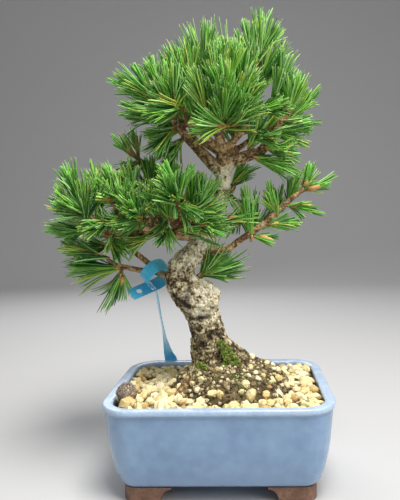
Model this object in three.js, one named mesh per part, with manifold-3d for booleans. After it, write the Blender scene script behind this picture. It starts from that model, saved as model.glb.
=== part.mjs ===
// A white pine bonsai in a glazed pot: pot, feet, drain screens, soil, stones, moss, wood,
// needle shoots and a loop label. Millimetres, +Z up, long side of the pot along X.

import * as THREE from 'three';
import { mergeVertices } from 'three/addons/utils/BufferGeometryUtils.js';
import Module from 'manifold-3d';

const wasm = await Module();
wasm.setup();

// ---------------------------------------------------------------- driving sizes

const gap = 0.3; // clearance between pieces that touch

const potLength = 180;
const potDepth = 135;
const potHeight = 77; // ground to rim top
const potCorner = 26; // corner radius of the rim, seen from above
const rimWidth = 8;
const wallThickness = 6;
const floorThickness = 7;
const footHeight = 12;
const footInset = 15; // rim edge to the foot's outer face
const footLength = 38;
const footDepth = 32;
const footThickness = 14;
const drainDiameter = 16;
const drainSpacing = 76; // between the centres of the two drain holes

const screenSide = 30;
const screenThickness = 1;
const screenPitch = 5;
const screenBar = 1.2;
const wireDiameter = 1.5;

const stoneLayer = 7.7; // depth of the loose stones on the soil
const rimDrop = 3; // rim top down to the stones
const moundLength = 106;
const moundDepth = 92;
const moundRise = 22; // crest of the root mound above the stones
const moundToRight = 8; // the mound's middle from the pot's middle
const cakeSize = 15;
const cakeFromSide = 10; // lump's middle to the inner edge of the rim
const cakeFromFront = 20;

const labelWidth = 12.7;
const labelThickness = 0.6;
const labelLoop = 25; // diameter of the loop
const labelTab = 21; // from the slot to the free end with the hole
const labelTaper = 0.1; // how much thinner and narrower the threaded end is
const labelHole = 5;
const labelWaist = 8.5; // width where the strap passes through the slot
const labelSlot = 4.4; // length of the slot along the strap
const labelBehindPot = 5; // tail to the rim's back edge
const labelBelowRim = 14; // rim top down to the tail's end

const needleSpread = 1.15; // scales the width of every shoot

// ---------------------------------------------------------------- materials

const glaze = { color: 0x94b0d6, roughness: 0.2, metalness: 0 };
const clay = { color: 0x7c5a4a, roughness: 0.8, metalness: 0 };
const blackPlastic = { color: 0x202224, roughness: 0.6, metalness: 0 };
const aluminium = { color: 0x9a9890, roughness: 0.4, metalness: 1 };
const loam = { color: 0x4a3a2c, roughness: 1, metalness: 0 };
const pumice = { color: 0xe6d29a, roughness: 0.9, metalness: 0 };
const rootSoil = { color: 0x6b5a48, roughness: 1, metalness: 0 };
const moss = { color: 0x6f9a34, roughness: 0.95, metalness: 0 };
const bark = { color: 0x9a8466, roughness: 0.9, metalness: 0 };
const needles = { color: 0x3f8f3a, roughness: 0.5, metalness: 0 };
const bluePlastic = { color: 0x2fa8e8, roughness: 0.35, metalness: 0 };
const compost = { color: 0x3a2a22, roughness: 0.95, metalness: 0 };

// ---------------------------------------------------------------- solids and booleans

// A closed geometry as a solid: corners are merged and flat triangles dropped.
function solid(geometry) {
  const bare = geometry.index ? geometry.toNonIndexed() : geometry.clone();
  bare.deleteAttribute('normal');
  bare.deleteAttribute('uv');
  const merged = mergeVertices(bare, 1e-4);
  const source = merged.index.array;
  const triangles = [];
  for (let i = 0; i < source.length; i += 3) {
    const [a, b, c] = [source[i], source[i + 1], source[i + 2]];
    if (a !== b && b !== c && c !== a) triangles.push(a, b, c);
  }
  return new wasm.Manifold(new wasm.Mesh({
    numProp: 3,
    vertProperties: new Float32Array(merged.attributes.position.array),
    triVerts: new Uint32Array(triangles),
  }));
}

// A solid back to a geometry that a mesh can show.
function geometryOf(body) {
  const mesh = body.getMesh();
  const geometry = new THREE.BufferGeometry();
  geometry.setAttribute('position', new THREE.BufferAttribute(mesh.vertProperties, 3));
  geometry.setIndex(new THREE.BufferAttribute(mesh.triVerts, 1));
  geometry.computeVertexNormals();
  return geometry;
}

function union(bodies) {
  return bodies.reduce((whole, body) => whole.add(body));
}

function box(x, y, z, centre) {
  return solid(new THREE.BoxGeometry(x, y, z).translate(...centre));
}

const group = new THREE.Group();

function addPiece(name, body, look) {
  const mesh = new THREE.Mesh(geometryOf(body), new THREE.MeshStandardMaterial(look));
  mesh.name = name;
  group.add(mesh);
}

// ---------------------------------------------------------------- pot

// A closed solid whose outline is the rim's rounded rectangle, drawn in by each level's inset.
// levels: [inset, z] from the bottom up.
function potLoft(levels) {
  const perCorner = 6;
  const sides = 4 * (perCorner + 1);
  const rows = [[null, levels[0][1]], ...levels, [null, levels[levels.length - 1][1]]];
  const profile = rows.map(([inset], row) => new THREE.Vector2(inset === null ? 0 : 1, row));
  const geometry = new THREE.LatheGeometry(profile, sides);
  const position = geometry.attributes.position;
  for (let i = 0; i < position.count; i += 1) {
    const row = i % rows.length;
    const side = Math.floor(i / rows.length) % sides;
    const [inset, z] = rows[row];
    const corner = Math.floor(side / (perCorner + 1));
    const angle = ((corner + (side % (perCorner + 1)) / perCorner) * Math.PI) / 2;
    const centreX = (corner === 0 || corner === 1 ? 1 : -1) * (potLength / 2 - potCorner);
    const centreY = (corner === 0 || corner === 3 ? 1 : -1) * (potDepth / 2 - potCorner);
    const x = centreX + (potCorner - inset) * Math.sin(angle);
    const y = centreY + (potCorner - inset) * Math.cos(angle);
    if (inset === null) position.setXYZ(i, 0, 0, z);
    else position.setXYZ(i, x, y, z);
  }
  return facingOut(solid(geometry), geometry);
}

// The same solid, with its faces turned to point out where they pointed in.
function facingOut(body, geometry) {
  if (body.volume() > 0) return body;
  const flipped = geometry.toNonIndexed();
  const position = flipped.attributes.position;
  for (let i = 0; i < position.count; i += 3) {
    const a = new THREE.Vector3().fromBufferAttribute(position, i);
    const b = new THREE.Vector3().fromBufferAttribute(position, i + 1);
    position.setXYZ(i, b.x, b.y, b.z);
    position.setXYZ(i + 1, a.x, a.y, a.z);
  }
  return solid(flipped);
}

const bodyBottom = footHeight;
const floorTop = footHeight + floorThickness;
const bodyRise = potHeight - footHeight;

// Outer wall: inset from the rim edge at a share of the body's height.
const wallLevels = [
  [20, 0], [16, 0.01], [12, 0.06], [9, 0.16], [6.6, 0.3], [4.2, 0.5], [2.4, 0.74], [1.6, 0.9],
  [0, 0.93], [0, 0.975], [0.9, 1],
].map(([inset, share]) => [inset, bodyBottom + share * bodyRise]);

// Inner wall, from the floor up, drawn in by a clearance for what fills the pot.
function cavityLevels(clearance, top) {
  const bottom = floorTop + clearance;
  const shares = [[14.5, 0], [10, 0.06], [7, 0.2], [4.2, 0.45], [2.4, 0.72], [1.6, 0.92]];
  const levels = shares.map(([inset, share]) => [
    Math.max(inset + wallThickness, rimWidth) + clearance,
    floorTop + share * (potHeight - floorTop),
  ]);
  const inside = levels.filter(([, z]) => z < top - 1 && z > bottom + 1);
  return [[levels[0][0], bottom], ...inside, [rimWidth + clearance, top]];
}

const drainCentres = [-drainSpacing / 2, drainSpacing / 2];

function drainHole(x) {
  const height = floorThickness * 3;
  const drill = new THREE.CylinderGeometry(drainDiameter / 2, drainDiameter / 2, height, 24);
  return solid(drill.rotateX(Math.PI / 2).translate(x, 0, floorTop));
}

function potBody() {
  const outside = potLoft(wallLevels);
  const inside = potLoft(cavityLevels(0, potHeight + 5));
  const holes = union(drainCentres.map(drainHole));
  return outside.subtract(inside).subtract(holes);
}

// One corner foot: an L in plan, round outside, with both inner ends scooped.
function cornerFoot(signX, signY) {
  const height = footHeight - gap;
  const round = potCorner - footInset;
  const outline = new THREE.Shape();
  outline.moveTo(round, 0);
  outline.lineTo(footLength, 0);
  outline.lineTo(footLength, footThickness);
  outline.lineTo(footThickness, footThickness);
  outline.lineTo(footThickness, footDepth);
  outline.lineTo(0, footDepth);
  outline.lineTo(0, round);
  outline.absarc(round, round, round, Math.PI, 1.5 * Math.PI, false);
  const plan = { depth: height, bevelEnabled: false, curveSegments: 8 };
  const foot = solid(new THREE.ExtrudeGeometry(outline, plan));
  const scoop = new THREE.CylinderGeometry(footHeight, footHeight, footThickness * 3, 24);
  const alongX = solid(scoop.clone().scale(0.7, 1, 0.85).translate(footLength, 0, 0));
  const alongY = solid(scoop.clone().rotateZ(Math.PI / 2).scale(1, 0.7, 0.85).translate(0, footDepth, 0));
  const cornerX = potLength / 2 - footInset;
  const cornerY = potDepth / 2 - footInset;
  const shaped = foot.subtract(alongX).subtract(alongY).translate([-cornerX, -cornerY, 0]);
  return shaped.scale([-signX, -signY, 1]);
}

addPiece('pot_body', potBody(), glaze);
addPiece('pot_foot_front_left', cornerFoot(-1, -1), clay);
addPiece('pot_foot_front_right', cornerFoot(1, -1), clay);
addPiece('pot_foot_back_left', cornerFoot(-1, 1), clay);
addPiece('pot_foot_back_right', cornerFoot(1, 1), clay);

// ---------------------------------------------------------------- drain screens and wires

const screenBottom = floorTop + gap;
const screenTop = screenBottom + screenThickness;
const openingsPerSide = Math.floor((screenSide - 2 * screenBar) / screenPitch);

// The middle of each row of openings, measured from the screen's centre.
const openingCentres = Array.from(
  { length: openingsPerSide },
  (_, i) => (i - (openingsPerSide - 1) / 2) * screenPitch,
);

function drainScreen(x) {
  const middle = screenBottom + screenThickness / 2;
  const opening = screenPitch - screenBar;
  const tall = screenThickness * 3;
  const openings = openingCentres.flatMap((across) => openingCentres.map(
    (along) => box(opening, opening, tall, [x + across, along, middle]),
  ));
  return box(screenSide, screenSide, screenThickness, [x, 0, middle]).subtract(union(openings));
}

// A staple: over the screen, down through it and the drain hole, and bent out under the floor.
function screenWire(x) {
  const reach = screenPitch; // its legs go through the openings beside the middle one
  const high = screenTop + gap + wireDiameter / 2;
  const low = bodyBottom - gap - wireDiameter / 2;
  const arm = drainDiameter / 2 + 7;
  const bend = 1.5;
  const corners = [
    [-arm, low], [-reach - bend, low], [-reach, low + bend], [-reach, high - bend],
    [-reach + bend, high], [reach - bend, high], [reach, high - bend], [reach, low + bend],
    [reach + bend, low], [arm, low],
  ].map(([along, z]) => new THREE.Vector3(x + along, 0, z));
  const path = new THREE.CurvePath();
  for (let i = 1; i < corners.length; i += 1) {
    path.add(new THREE.LineCurve3(corners[i - 1], corners[i]));
  }
  const section = new THREE.Shape();
  section.absarc(0, 0, wireDiameter / 2, 0, 2 * Math.PI, false);
  const sweep = { steps: 34, bevelEnabled: false, extrudePath: path, curveSegments: 3 };
  return solid(new THREE.ExtrudeGeometry(section, sweep));
}

addPiece('drain_screen_left', drainScreen(drainCentres[0]), blackPlastic);
addPiece('drain_screen_right', drainScreen(drainCentres[1]), blackPlastic);
addPiece('screen_wire_left', screenWire(drainCentres[0]), aluminium);
addPiece('screen_wire_right', screenWire(drainCentres[1]), aluminium);

// ---------------------------------------------------------------- wood

const stoneTop = potHeight - rimDrop;
const soilTop = stoneTop - stoneLayer;

// Limbs are lists of [x, y, height above the stones, radius], from the thick end to the tip.
const trunkLine = [
  [-9, 3, -6, 21], [-9, 3, 12, 18.5], [-10, 2, 30, 15.5], [-11, 1, 46, 14.5],
  [-14, -1, 60, 14.5], [-21, -3, 74, 15], [-29, -5, 86, 14.5], [-32, -5, 96, 13],
  [-28, -3, 106, 11], [-20, 1, 115, 10], [-12, 4, 125, 9.5], [-5, 6, 138, 8.5],
  [1, 6, 154, 7.4], [4, 5, 169, 7], [5, 4, 182, 6.6],
];
const burl = { centre: [-14, -4, 76], radii: [14.5, 15, 17] };
const rootLines = [
  [[-2, 0, 34, 12], [10, 1, 27, 9], [22, 2, 20, 7], [34, 2, 13, 5], [45, 0, 6, 4], [54, -3, -3, 3]],
  [[-12, -6, 20, 8], [-22, -16, 12, 6], [-30, -26, 4, 4], [-36, -32, -3, 3]],
  [[-8, 10, 20, 8], [-4, 24, 13, 6], [2, 36, 5, 4], [6, 42, -3, 3]],
];
const branchLines = [
  // crown, to the left, over the top and to the right
  [[5, 4, 180, 6.5], [-8, 1, 193, 5], [-17, -2, 203, 4.5], [-26, -4, 213, 4], [-36, -6, 226, 2.6]],
  [[5, 4, 182, 6], [13, 3, 190, 5.5], [25, 1, 194, 5], [36, 0, 197, 4.4], [44, -1, 206, 3.6],
    [53, -2, 218, 3], [59, -3, 227, 2.4]],
  [[5, 4, 180, 6], [4, 6, 198, 5], [2, 7, 216, 4], [0, 6, 234, 3], [-5, 4, 252, 2.2]],
  [[3, 7, 210, 3.6], [14, 6, 226, 3], [25, 5, 243, 2.6], [32, 4, 256, 2]],
  [[2, 7, 218, 3], [-10, 4, 230, 2.5], [-19, 0, 241, 2]],
  // crown, forwards and back
  [[5, 2, 188, 4.5], [6, -12, 198, 3.6], [4, -26, 208, 2.8], [0, -34, 216, 2]],
  [[6, -10, 196, 3.4], [18, -22, 206, 2.8], [28, -31, 216, 2]],
  [[5, -10, 197, 3.2], [-8, -24, 208, 2.6], [-18, -33, 217, 2]],
  [[5, 6, 188, 4.5], [5, 20, 198, 3.6], [3, 33, 209, 2.8], [0, 41, 218, 2]],
  [[5, 18, 196, 3.4], [20, 30, 206, 2.8], [32, 37, 216, 2]],
  [[5, 18, 197, 3.2], [-10, 30, 208, 2.6], [-23, 36, 217, 2]],
  // left pad
  [[-8, 5, 133, 6], [-28, 0, 129, 5], [-50, -5, 132, 4.5], [-72, -7, 131, 4], [-92, -6, 132, 3.2],
    [-104, -5, 138, 2.4]],
  [[-28, 0, 130, 3.6], [-30, -10, 144, 2.8], [-31, -15, 157, 2]],
  [[-50, -5, 132, 3.4], [-53, -18, 138, 2.6], [-53, -28, 143, 2]],
  [[-50, -5, 132, 3.4], [-58, -5, 143, 2.6], [-62, -5, 150, 2]],
  [[-74, -7, 131, 3.2], [-80, -12, 145, 2.6], [-84, -13, 156, 2]],
  [[-30, 2, 130, 3.8], [-42, 14, 145, 3.2], [-56, 17, 170, 2.8], [-66, 16, 190, 2]],
  [[-46, -2, 132, 3.4], [-58, 14, 136, 2.8], [-70, 26, 141, 2]],
  [[-30, 4, 130, 3.4], [-38, 18, 134, 2.8], [-44, 30, 139, 2]],
  // low branch that carries the label, and its upper fork
  [[-30, 0, 91, 5.5], [-43, 6, 93, 3.6], [-55, 11, 97, 3], [-70, 10, 99, 2.4], [-88, 4, 104, 2]],
  [[-52, 10, 97, 3], [-62, 14, 104, 2.6], [-74, 14, 114, 2.4], [-84, 11, 124, 1.8]],
  // right branch
  [[-16, 4, 118, 5], [-4, 1, 115, 3.6], [8, -1, 117, 3], [20, -2, 125, 2.8], [37, -3, 136, 2.6],
    [48, -3, 146, 2.4], [61, -4, 157, 2.2], [69, -4, 163, 1.9]],
  [[0, 6, 154, 4], [8, 14, 162, 3], [14, 19, 170, 2]],
];

const rowsPerPoint = 1.4; // rings of corners for each point of a limb's line

// A round, tapering solid along a smooth line through its points, with closed ends.
function limb(line, sides, grow) {
  const places = line.map(([x, y, z]) => new THREE.Vector3(x, y, z + stoneTop));
  const radii = line.map(([, , , radius]) => new THREE.Vector3(radius, 0, 0));
  const path = new THREE.CatmullRomCurve3(places);
  const thickness = new THREE.CatmullRomCurve3(radii);
  const last = Math.round((line.length - 1) * rowsPerPoint);
  const frames = path.computeFrenetFrames(last, false);
  const profile = [new THREE.Vector2(0, 0)];
  for (let row = 0; row <= last; row += 1) profile.push(new THREE.Vector2(1, row));
  profile.push(new THREE.Vector2(0, last));
  const geometry = new THREE.LatheGeometry(profile, sides);
  const position = geometry.attributes.position;
  for (let i = 0; i < position.count; i += 1) {
    const row = Math.round(position.getY(i));
    const onLine = path.getUtoTmapping(row / last);
    const radius = thickness.getPoint(onLine).x + grow;
    const point = path.getPoint(onLine);
    point.addScaledVector(frames.normals[row], position.getX(i) * radius);
    point.addScaledVector(frames.binormals[row], position.getZ(i) * radius);
    if (row === 0) point.addScaledVector(frames.tangents[row], -grow);
    if (row === last) point.addScaledVector(frames.tangents[row], grow);
    position.setXYZ(i, point.x, point.y, point.z);
  }
  return facingOut(solid(geometry), geometry);
}

// All the wood as one body, grown on every side by an allowance.
function wood(grow) {
  const { centre, radii } = burl;
  const swelling = new THREE.SphereGeometry(1, 14, 10);
  swelling.scale(radii[0] + grow, radii[1] + grow, radii[2] + grow);
  swelling.translate(centre[0], centre[1], centre[2] + stoneTop);
  const roots = rootLines.map((line) => limb(line, 8, grow));
  const branches = branchLines.map((line) => limb(line, 6, grow));
  return union([limb(trunkLine, 12, grow), solid(swelling), ...roots, ...branches]);
}

const treeWood = wood(0);
const treeWoodWithGap = wood(gap);

addPiece('trunk_and_branches', treeWood, bark);

// ---------------------------------------------------------------- soil, stones, mound, moss

function mound(grow) {
  const crest = stoneTop + moundRise - soilTop;
  const dome = new THREE.SphereGeometry(1, 28, 14).rotateX(Math.PI / 2);
  dome.scale(moundLength / 2 + grow, moundDepth / 2 + grow, crest + grow);
  const whole = solid(dome.translate(moundToRight, 0, soilTop + gap));
  const cut = moundLength * 2;
  return whole.subtract(box(cut, cut, cut, [0, 0, soilTop + gap - grow - cut / 2]));
}

// Room for a screen and its wire in the soil above the floor.
function screenPocket(x) {
  const top = screenTop + 2 * gap + wireDiameter;
  const bottom = floorTop - 1;
  const side = screenSide + 2 * gap;
  return box(side, side, top - bottom, [x, 0, (top + bottom) / 2]);
}

const rootMound = mound(0);
const rootMoundWithGap = mound(gap);

function pottingSoil() {
  const pockets = union(drainCentres.map(screenPocket));
  return potLoft(cavityLevels(gap, soilTop)).subtract(pockets);
}

function topDressing() {
  const filled = potLoft(cavityLevels(gap, stoneTop));
  const cut = potLength * 2;
  const below = box(cut, cut, cut, [0, 0, soilTop + gap - cut / 2]);
  return filled.subtract(below).subtract(rootMoundWithGap).subtract(treeWoodWithGap);
}

addPiece('potting_soil', pottingSoil(), loam);
addPiece('root_mound', rootMound.subtract(treeWoodWithGap), rootSoil);
addPiece('gravel_top_dressing', topDressing(), pumice);

// A cushion of moss that lies on the mound and against the wood.
function mossCushion(x, y, radii) {
  const across = (2 * (x - moundToRight)) / moundLength;
  const along = (2 * y) / moundDepth;
  const slope = Math.sqrt(1 - across ** 2 - along ** 2);
  const surface = soilTop + gap + (stoneTop + moundRise - soilTop) * slope;
  const cushion = new THREE.SphereGeometry(1, 12, 8);
  cushion.scale(...radii).translate(x, y, surface);
  return solid(cushion).subtract(rootMoundWithGap).subtract(treeWoodWithGap);
}

addPiece('moss_at_trunk', mossCushion(8, -17, [9, 8, 9]), moss);
addPiece('moss_front', mossCushion(-18, -23, [8, 6, 5]), moss);
addPiece('moss_right', mossCushion(14, -33, [7, 6, 5]), moss);

function fertiliserCake() {
  const lump = new THREE.IcosahedronGeometry(cakeSize / 2, 1).scale(1, 0.9, 0.95);
  const x = -potLength / 2 + rimWidth + cakeFromSide;
  const y = -potDepth / 2 + rimWidth + cakeFromFront;
  return solid(lump.translate(x, y, stoneTop + gap + cakeSize / 2));
}

addPiece('fertiliser_cake', fertiliserCake(), compost);

// ---------------------------------------------------------------- needle shoots

// Each shoot: name, where it leaves its twig, the way it points, its length and its width.
// Places and heights are measured as the limbs' are.
const shoots = [
  ['crown_shoot_left_tip', [-39, -6, 226], [-0.85, -0.1, 0.5], 52, 34],
  ['crown_shoot_left_low', [-34, 0, 212], [-1, 0.1, -0.05], 50, 36],
  ['crown_shoot_left_under', [-24, -8, 207], [-0.7, -0.6, -0.35], 42, 34],
  ['crown_shoot_left_front', [-34, -14, 222], [-0.55, -0.6, 0.6], 50, 36],
  ['crown_shoot_left_back', [-28, 38, 217], [-0.65, 0.5, 0.5], 50, 44],
  ['crown_shoot_left_top', [-20, -1, 240], [-0.5, -0.15, 0.85], 56, 40],
  ['crown_shoot_top', [-7, 3, 252], [-0.1, 0, 1], 56, 38],
  ['crown_shoot_peak', [33, 4, 256], [0.15, 0, 1], 56, 34],
  ['crown_shoot_top_middle', [9, -4, 240], [0.1, -0.25, 1], 58, 36],
  ['crown_shoot_right_top', [40, -6, 240], [0.55, -0.2, 0.8], 56, 36],
  ['crown_shoot_right_tip', [60, -3, 227], [0.75, 0, 0.65], 46, 38],
  ['crown_shoot_right_low', [50, -1, 205], [1, 0, 0.1], 44, 38],
  ['crown_shoot_right_under', [37, -8, 194], [0.75, -0.5, -0.1], 44, 32],
  ['crown_shoot_right_front', [28, -32, 217], [0.45, -0.6, 0.65], 50, 42],
  ['crown_shoot_front', [0, -35, 217], [0, -0.65, 0.75], 50, 40],
  ['crown_shoot_front_low', [5, -27, 203], [0.1, -0.95, -0.05], 40, 40],
  ['crown_shoot_front_left', [-18, -34, 217], [-0.4, -0.7, 0.6], 48, 40],
  ['crown_shoot_back', [0, 42, 218], [0, 0.65, 0.75], 50, 46],
  ['crown_shoot_right_back', [33, 38, 217], [0.6, 0.55, 0.6], 50, 46],
  ['crown_shoot_top_back', [8, 18, 238], [0.1, 0.45, 0.9], 54, 46],
  ['pad_shoot_far_left', [-105, -5, 139], [-0.75, -0.1, 0.65], 48, 36],
  ['pad_shoot_far_left_low', [-102, -3, 131], [-1, 0, -0.05], 44, 34],
  ['pad_shoot_left_up', [-84, -13, 157], [-0.35, -0.15, 0.95], 42, 36],
  ['pad_shoot_left_front', [-82, -17, 137], [-0.5, -0.8, 0.2], 40, 38],
  ['pad_shoot_low_tip', [-89, 3, 105], [-1, -0.1, 0.2], 46, 34],
  ['pad_shoot_low_fork', [-82, 12, 124], [-0.6, 0.7, 0.25], 36, 36],
  ['pad_shoot_hanging', [-84, 2, 100], [-0.12, 0, -1], 36, 14],
  ['pad_shoot_middle_up', [-62, -5, 150], [-0.1, -0.1, 1], 40, 38],
  ['pad_shoot_middle_front', [-53, -29, 143], [-0.1, -0.9, 0.3], 38, 42],
  ['pad_shoot_middle_under', [-44, -9, 125], [-0.1, -0.75, -0.55], 36, 38],
  ['pad_shoot_right_up', [-31, -15, 157], [0.05, -0.15, 1], 38, 36],
  ['pad_shoot_right_front', [-27, -16, 147], [0.55, -0.75, 0.2], 40, 36],
  ['pad_shoot_back', [-44, 31, 139], [0, 0.85, 0.45], 42, 48],
  ['pad_shoot_left_back', [-72, 27, 141], [-0.5, 0.75, 0.45], 42, 44],
  ['pad_shoot_high', [-67, 16, 190], [-0.3, 0, 0.95], 38, 28],
  ['right_shoot_tip', [70, -4, 164], [0.8, 0, 0.6], 36, 34],
  ['right_shoot_above', [50, -2, 150], [0.25, 0.1, 1], 38, 34],
  ['right_shoot_fan', [22, -3, 129], [0.15, -0.1, 1], 44, 34],
  ['right_shoot_behind', [15, 20, 171], [0.35, 0.35, 0.85], 40, 34],
  ['trunk_sprout', [-12, -2, 98], [0.9, 0.05, 0.35], 44, 34],
];

// The share of a shoot's half width at each share of its length.
const shootProfile = [[0, 0], [0.3, 0.05], [0.75, 0.3], [1, 0.62], [0.8, 0.9], [0, 1]];

function shootBody([, base, direction, length, width]) {
  const half = (width * needleSpread) / 2;
  const outline = shootProfile.map(([out, along]) => new THREE.Vector2(out * half, along * length));
  const geometry = new THREE.LatheGeometry(outline, 8);
  const aim = new THREE.Vector3(...direction).normalize();
  geometry.applyQuaternion(new THREE.Quaternion().setFromUnitVectors(new THREE.Vector3(0, 1, 0), aim));
  geometry.translate(base[0], base[1], base[2] + stoneTop);
  const middle = new THREE.Vector3(base[0], base[1], base[2] + stoneTop).addScaledVector(aim, length * 0.55);
  return { body: facingOut(solid(geometry), geometry), middle };
}

// Cuts a body back to its own side of the plane halfway to a neighbour's middle.
function trimToOwnSide(body, own, other) {
  const size = 2 * potLength;
  const away = other.clone().sub(own).normalize();
  const wall = new THREE.BoxGeometry(size, size, size);
  wall.translate(0, (size - gap) / 2, 0);
  wall.applyQuaternion(new THREE.Quaternion().setFromUnitVectors(new THREE.Vector3(0, 1, 0), away));
  const halfway = own.clone().add(other).multiplyScalar(0.5);
  wall.translate(halfway.x, halfway.y, halfway.z);
  return body.subtract(solid(wall));
}

const grown = shoots.map(shootBody);
shoots.forEach(([name], i) => {
  let { body } = grown[i];
  grown.forEach((other, j) => {
    const meets = i !== j && grown[i].body.intersect(other.body).volume() > 0;
    if (meets) body = trimToOwnSide(body, grown[i].middle, other.middle);
  });
  addPiece(name, body.subtract(treeWoodWithGap), needles);
});

// ---------------------------------------------------------------- loop label

// The strap's middle line, in order: free end, slot, once round the loop, back through the
// slot, and down behind the pot. Each station holds a place and the way the width points.
const loopCentre = new THREE.Vector3(-55, 10, 94.6 + stoneTop);
const loopAxis = new THREE.Vector3(0.62, -0.5, -0.6).normalize();
const loopUp = new THREE.Vector3(0, 0, 1).addScaledVector(loopAxis, -loopAxis.z).normalize();
const loopSide = new THREE.Vector3().crossVectors(loopAxis, loopUp);
const loopStart = 200; // degrees round the loop from its top to where the tab meets it
const slotBack = 4; // from there back to the slot

function onLoop(degrees, radius) {
  const angle = THREE.MathUtils.degToRad(degrees);
  return loopCentre.clone()
    .addScaledVector(loopUp, Math.cos(angle) * radius)
    .addScaledVector(loopSide, Math.sin(angle) * radius);
}

function labelStations() {
  const radius = labelLoop / 2;
  const start = onLoop(loopStart, radius);
  const along = onLoop(loopStart + 90, 1).sub(loopCentre);
  const outward = onLoop(loopStart, 1).sub(loopCentre);
  const slot = start.clone().addScaledVector(along, -slotBack);
  const stations = [
    [slot.clone().addScaledVector(along, -labelTab), loopAxis],
    [slot.clone().addScaledVector(along, -labelTab / 2), loopAxis],
    [slot, loopAxis],
  ];
  for (let degrees = 0; degrees <= 270; degrees += 30) {
    stations.push([onLoop(loopStart + degrees, radius), loopAxis]);
  }
  stations.push([onLoop(loopStart + 305, radius - 1.2), loopAxis]);
  stations.push([slot, loopAxis, true]);
  const below = slot.clone().addScaledVector(along, 4).addScaledVector(outward, 5);
  stations.push([below, new THREE.Vector3(0.4, -0.75, -0.5)]);
  const rimBack = potDepth / 2 + labelBehindPot;
  const overRim = new THREE.Vector3(-55, rimBack, potHeight + 1);
  const end = new THREE.Vector3(-53, rimBack + 1, potHeight - labelBelowRim);
  // share of the way from below the slot to the rim, sag, and the way the width points
  const bends = [[0.3, 3, [0.35, -0.75, -0.55]], [0.55, 4, [0.4, -0.7, -0.55]],
    [0.8, 3, [0.7, -0.5, -0.4]]];
  for (const [share, sag, across] of bends) {
    const place = below.clone().lerp(overRim, share);
    place.z -= sag;
    stations.push([place, new THREE.Vector3(...across)]);
  }
  stations.push([overRim, new THREE.Vector3(1, -0.15, -0.1)]);
  stations.push([end, new THREE.Vector3(1, 0, 0)]);
  return stations;
}

const stations = labelStations();
const labelLine = new THREE.CatmullRomCurve3(stations.map(([place]) => place), false, 'centripetal');
const labelAcross = new THREE.CatmullRomCurve3(stations.map(([, across]) => across.clone().normalize()));

// The strap's frame at a point of its line: place, along, across and through.
function labelFrame(t) {
  const place = labelLine.getPoint(t);
  const along = labelLine.getTangent(t);
  const across = labelAcross.getPoint(t);
  across.addScaledVector(along, -across.dot(along)).normalize();
  return { place, along, across, through: new THREE.Vector3().crossVectors(along, across) };
}

// A cutter standing through the strap at a point of its line.
function labelCutter(geometry, t) {
  const { place, along, across, through } = labelFrame(t);
  const turned = new THREE.Matrix4().makeBasis(along, across, through).setPosition(place);
  return solid(geometry.applyMatrix4(turned));
}

const rowsPerStation = 4;
const lastStation = stations.length - 1;
const slotStation = 2;
const holeStation = 0.8;
const crossingStation = stations.findIndex(([, , waist]) => waist);

// A stretch of the strap between two rows, drawn in where it passes through the slot.
function strapStretch(firstRow, lastRow, thinner) {
  const strip = new THREE.BoxGeometry(1, labelThickness - thinner, 1, 1, 1, lastRow - firstRow);
  const position = strip.attributes.position;
  for (let i = 0; i < position.count; i += 1) {
    const station = (firstRow + (position.getZ(i) + 0.5) * (lastRow - firstRow)) / rowsPerStation;
    const { place, across, through } = labelFrame(station / lastStation);
    const fromSlot = Math.abs(station - crossingStation);
    const width = labelWaist + (labelWidth - labelWaist) * THREE.MathUtils.smoothstep(fromSlot, 0.6, 1.6);
    place.addScaledVector(across, position.getX(i) * (width - thinner));
    place.addScaledVector(through, position.getY(i));
    position.setXYZ(i, place.x, place.y, place.z);
  }
  return facingOut(solid(strip), strip);
}

function plantLabel() {
  const deep = labelThickness * 5;
  const hole = new THREE.CylinderGeometry(labelHole / 2, labelHole / 2, deep, 16).rotateX(Math.PI / 2);
  const slot = new THREE.BoxGeometry(labelSlot, labelWaist + 4 * gap, deep);
  const split = (crossingStation - 2) * rowsPerStation;
  const tail = strapStretch(split - 1, lastStation * rowsPerStation, labelTaper);
  return strapStretch(0, split, 0)
    .subtract(labelCutter(hole, holeStation / lastStation))
    .subtract(labelCutter(slot, slotStation / lastStation))
    .add(tail);
}

addPiece('plant_label', plantLabel(), bluePlastic);

// ---------------------------------------------------------------- seat on the ground

const bounds = new THREE.Box3().setFromObject(group);
group.position.set(-(bounds.min.x + bounds.max.x) / 2, -(bounds.min.y + bounds.max.y) / 2, -bounds.min.z);

export default group;
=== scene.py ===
"""A white pine bonsai in a glazed pot: the looks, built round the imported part.

Each operator makes one piece or one group of like pieces. Shapes are worked out in millimetres,
from the middle of the pot on the ground, and put into the row frame by new_mesh."""

import itertools
import math

import bmesh
import bpy
import numpy as np
from bpy.props import FloatProperty, FloatVectorProperty, IntProperty, PointerProperty
from bpy.types import Operator, Panel, PropertyGroup
from mathutils import Matrix, Vector


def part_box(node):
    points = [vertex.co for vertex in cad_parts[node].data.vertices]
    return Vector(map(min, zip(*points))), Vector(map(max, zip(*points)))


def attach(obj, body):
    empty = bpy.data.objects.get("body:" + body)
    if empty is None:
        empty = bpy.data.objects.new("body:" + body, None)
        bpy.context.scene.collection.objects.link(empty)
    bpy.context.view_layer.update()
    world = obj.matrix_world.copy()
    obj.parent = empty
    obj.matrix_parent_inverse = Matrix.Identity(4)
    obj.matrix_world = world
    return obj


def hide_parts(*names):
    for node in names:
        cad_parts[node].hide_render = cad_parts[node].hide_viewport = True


bl_info = {
    "name": "Bonsai Pine in a Pot",
    "version": (1, 0, 0),
    "blender": (4, 5, 0),
    "location": "3D View > Sidebar > Bonsai",
    "description": "Builds a potted pine bonsai: pot, stones, wood, needles and label",
    "category": "Add Mesh",
}

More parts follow.
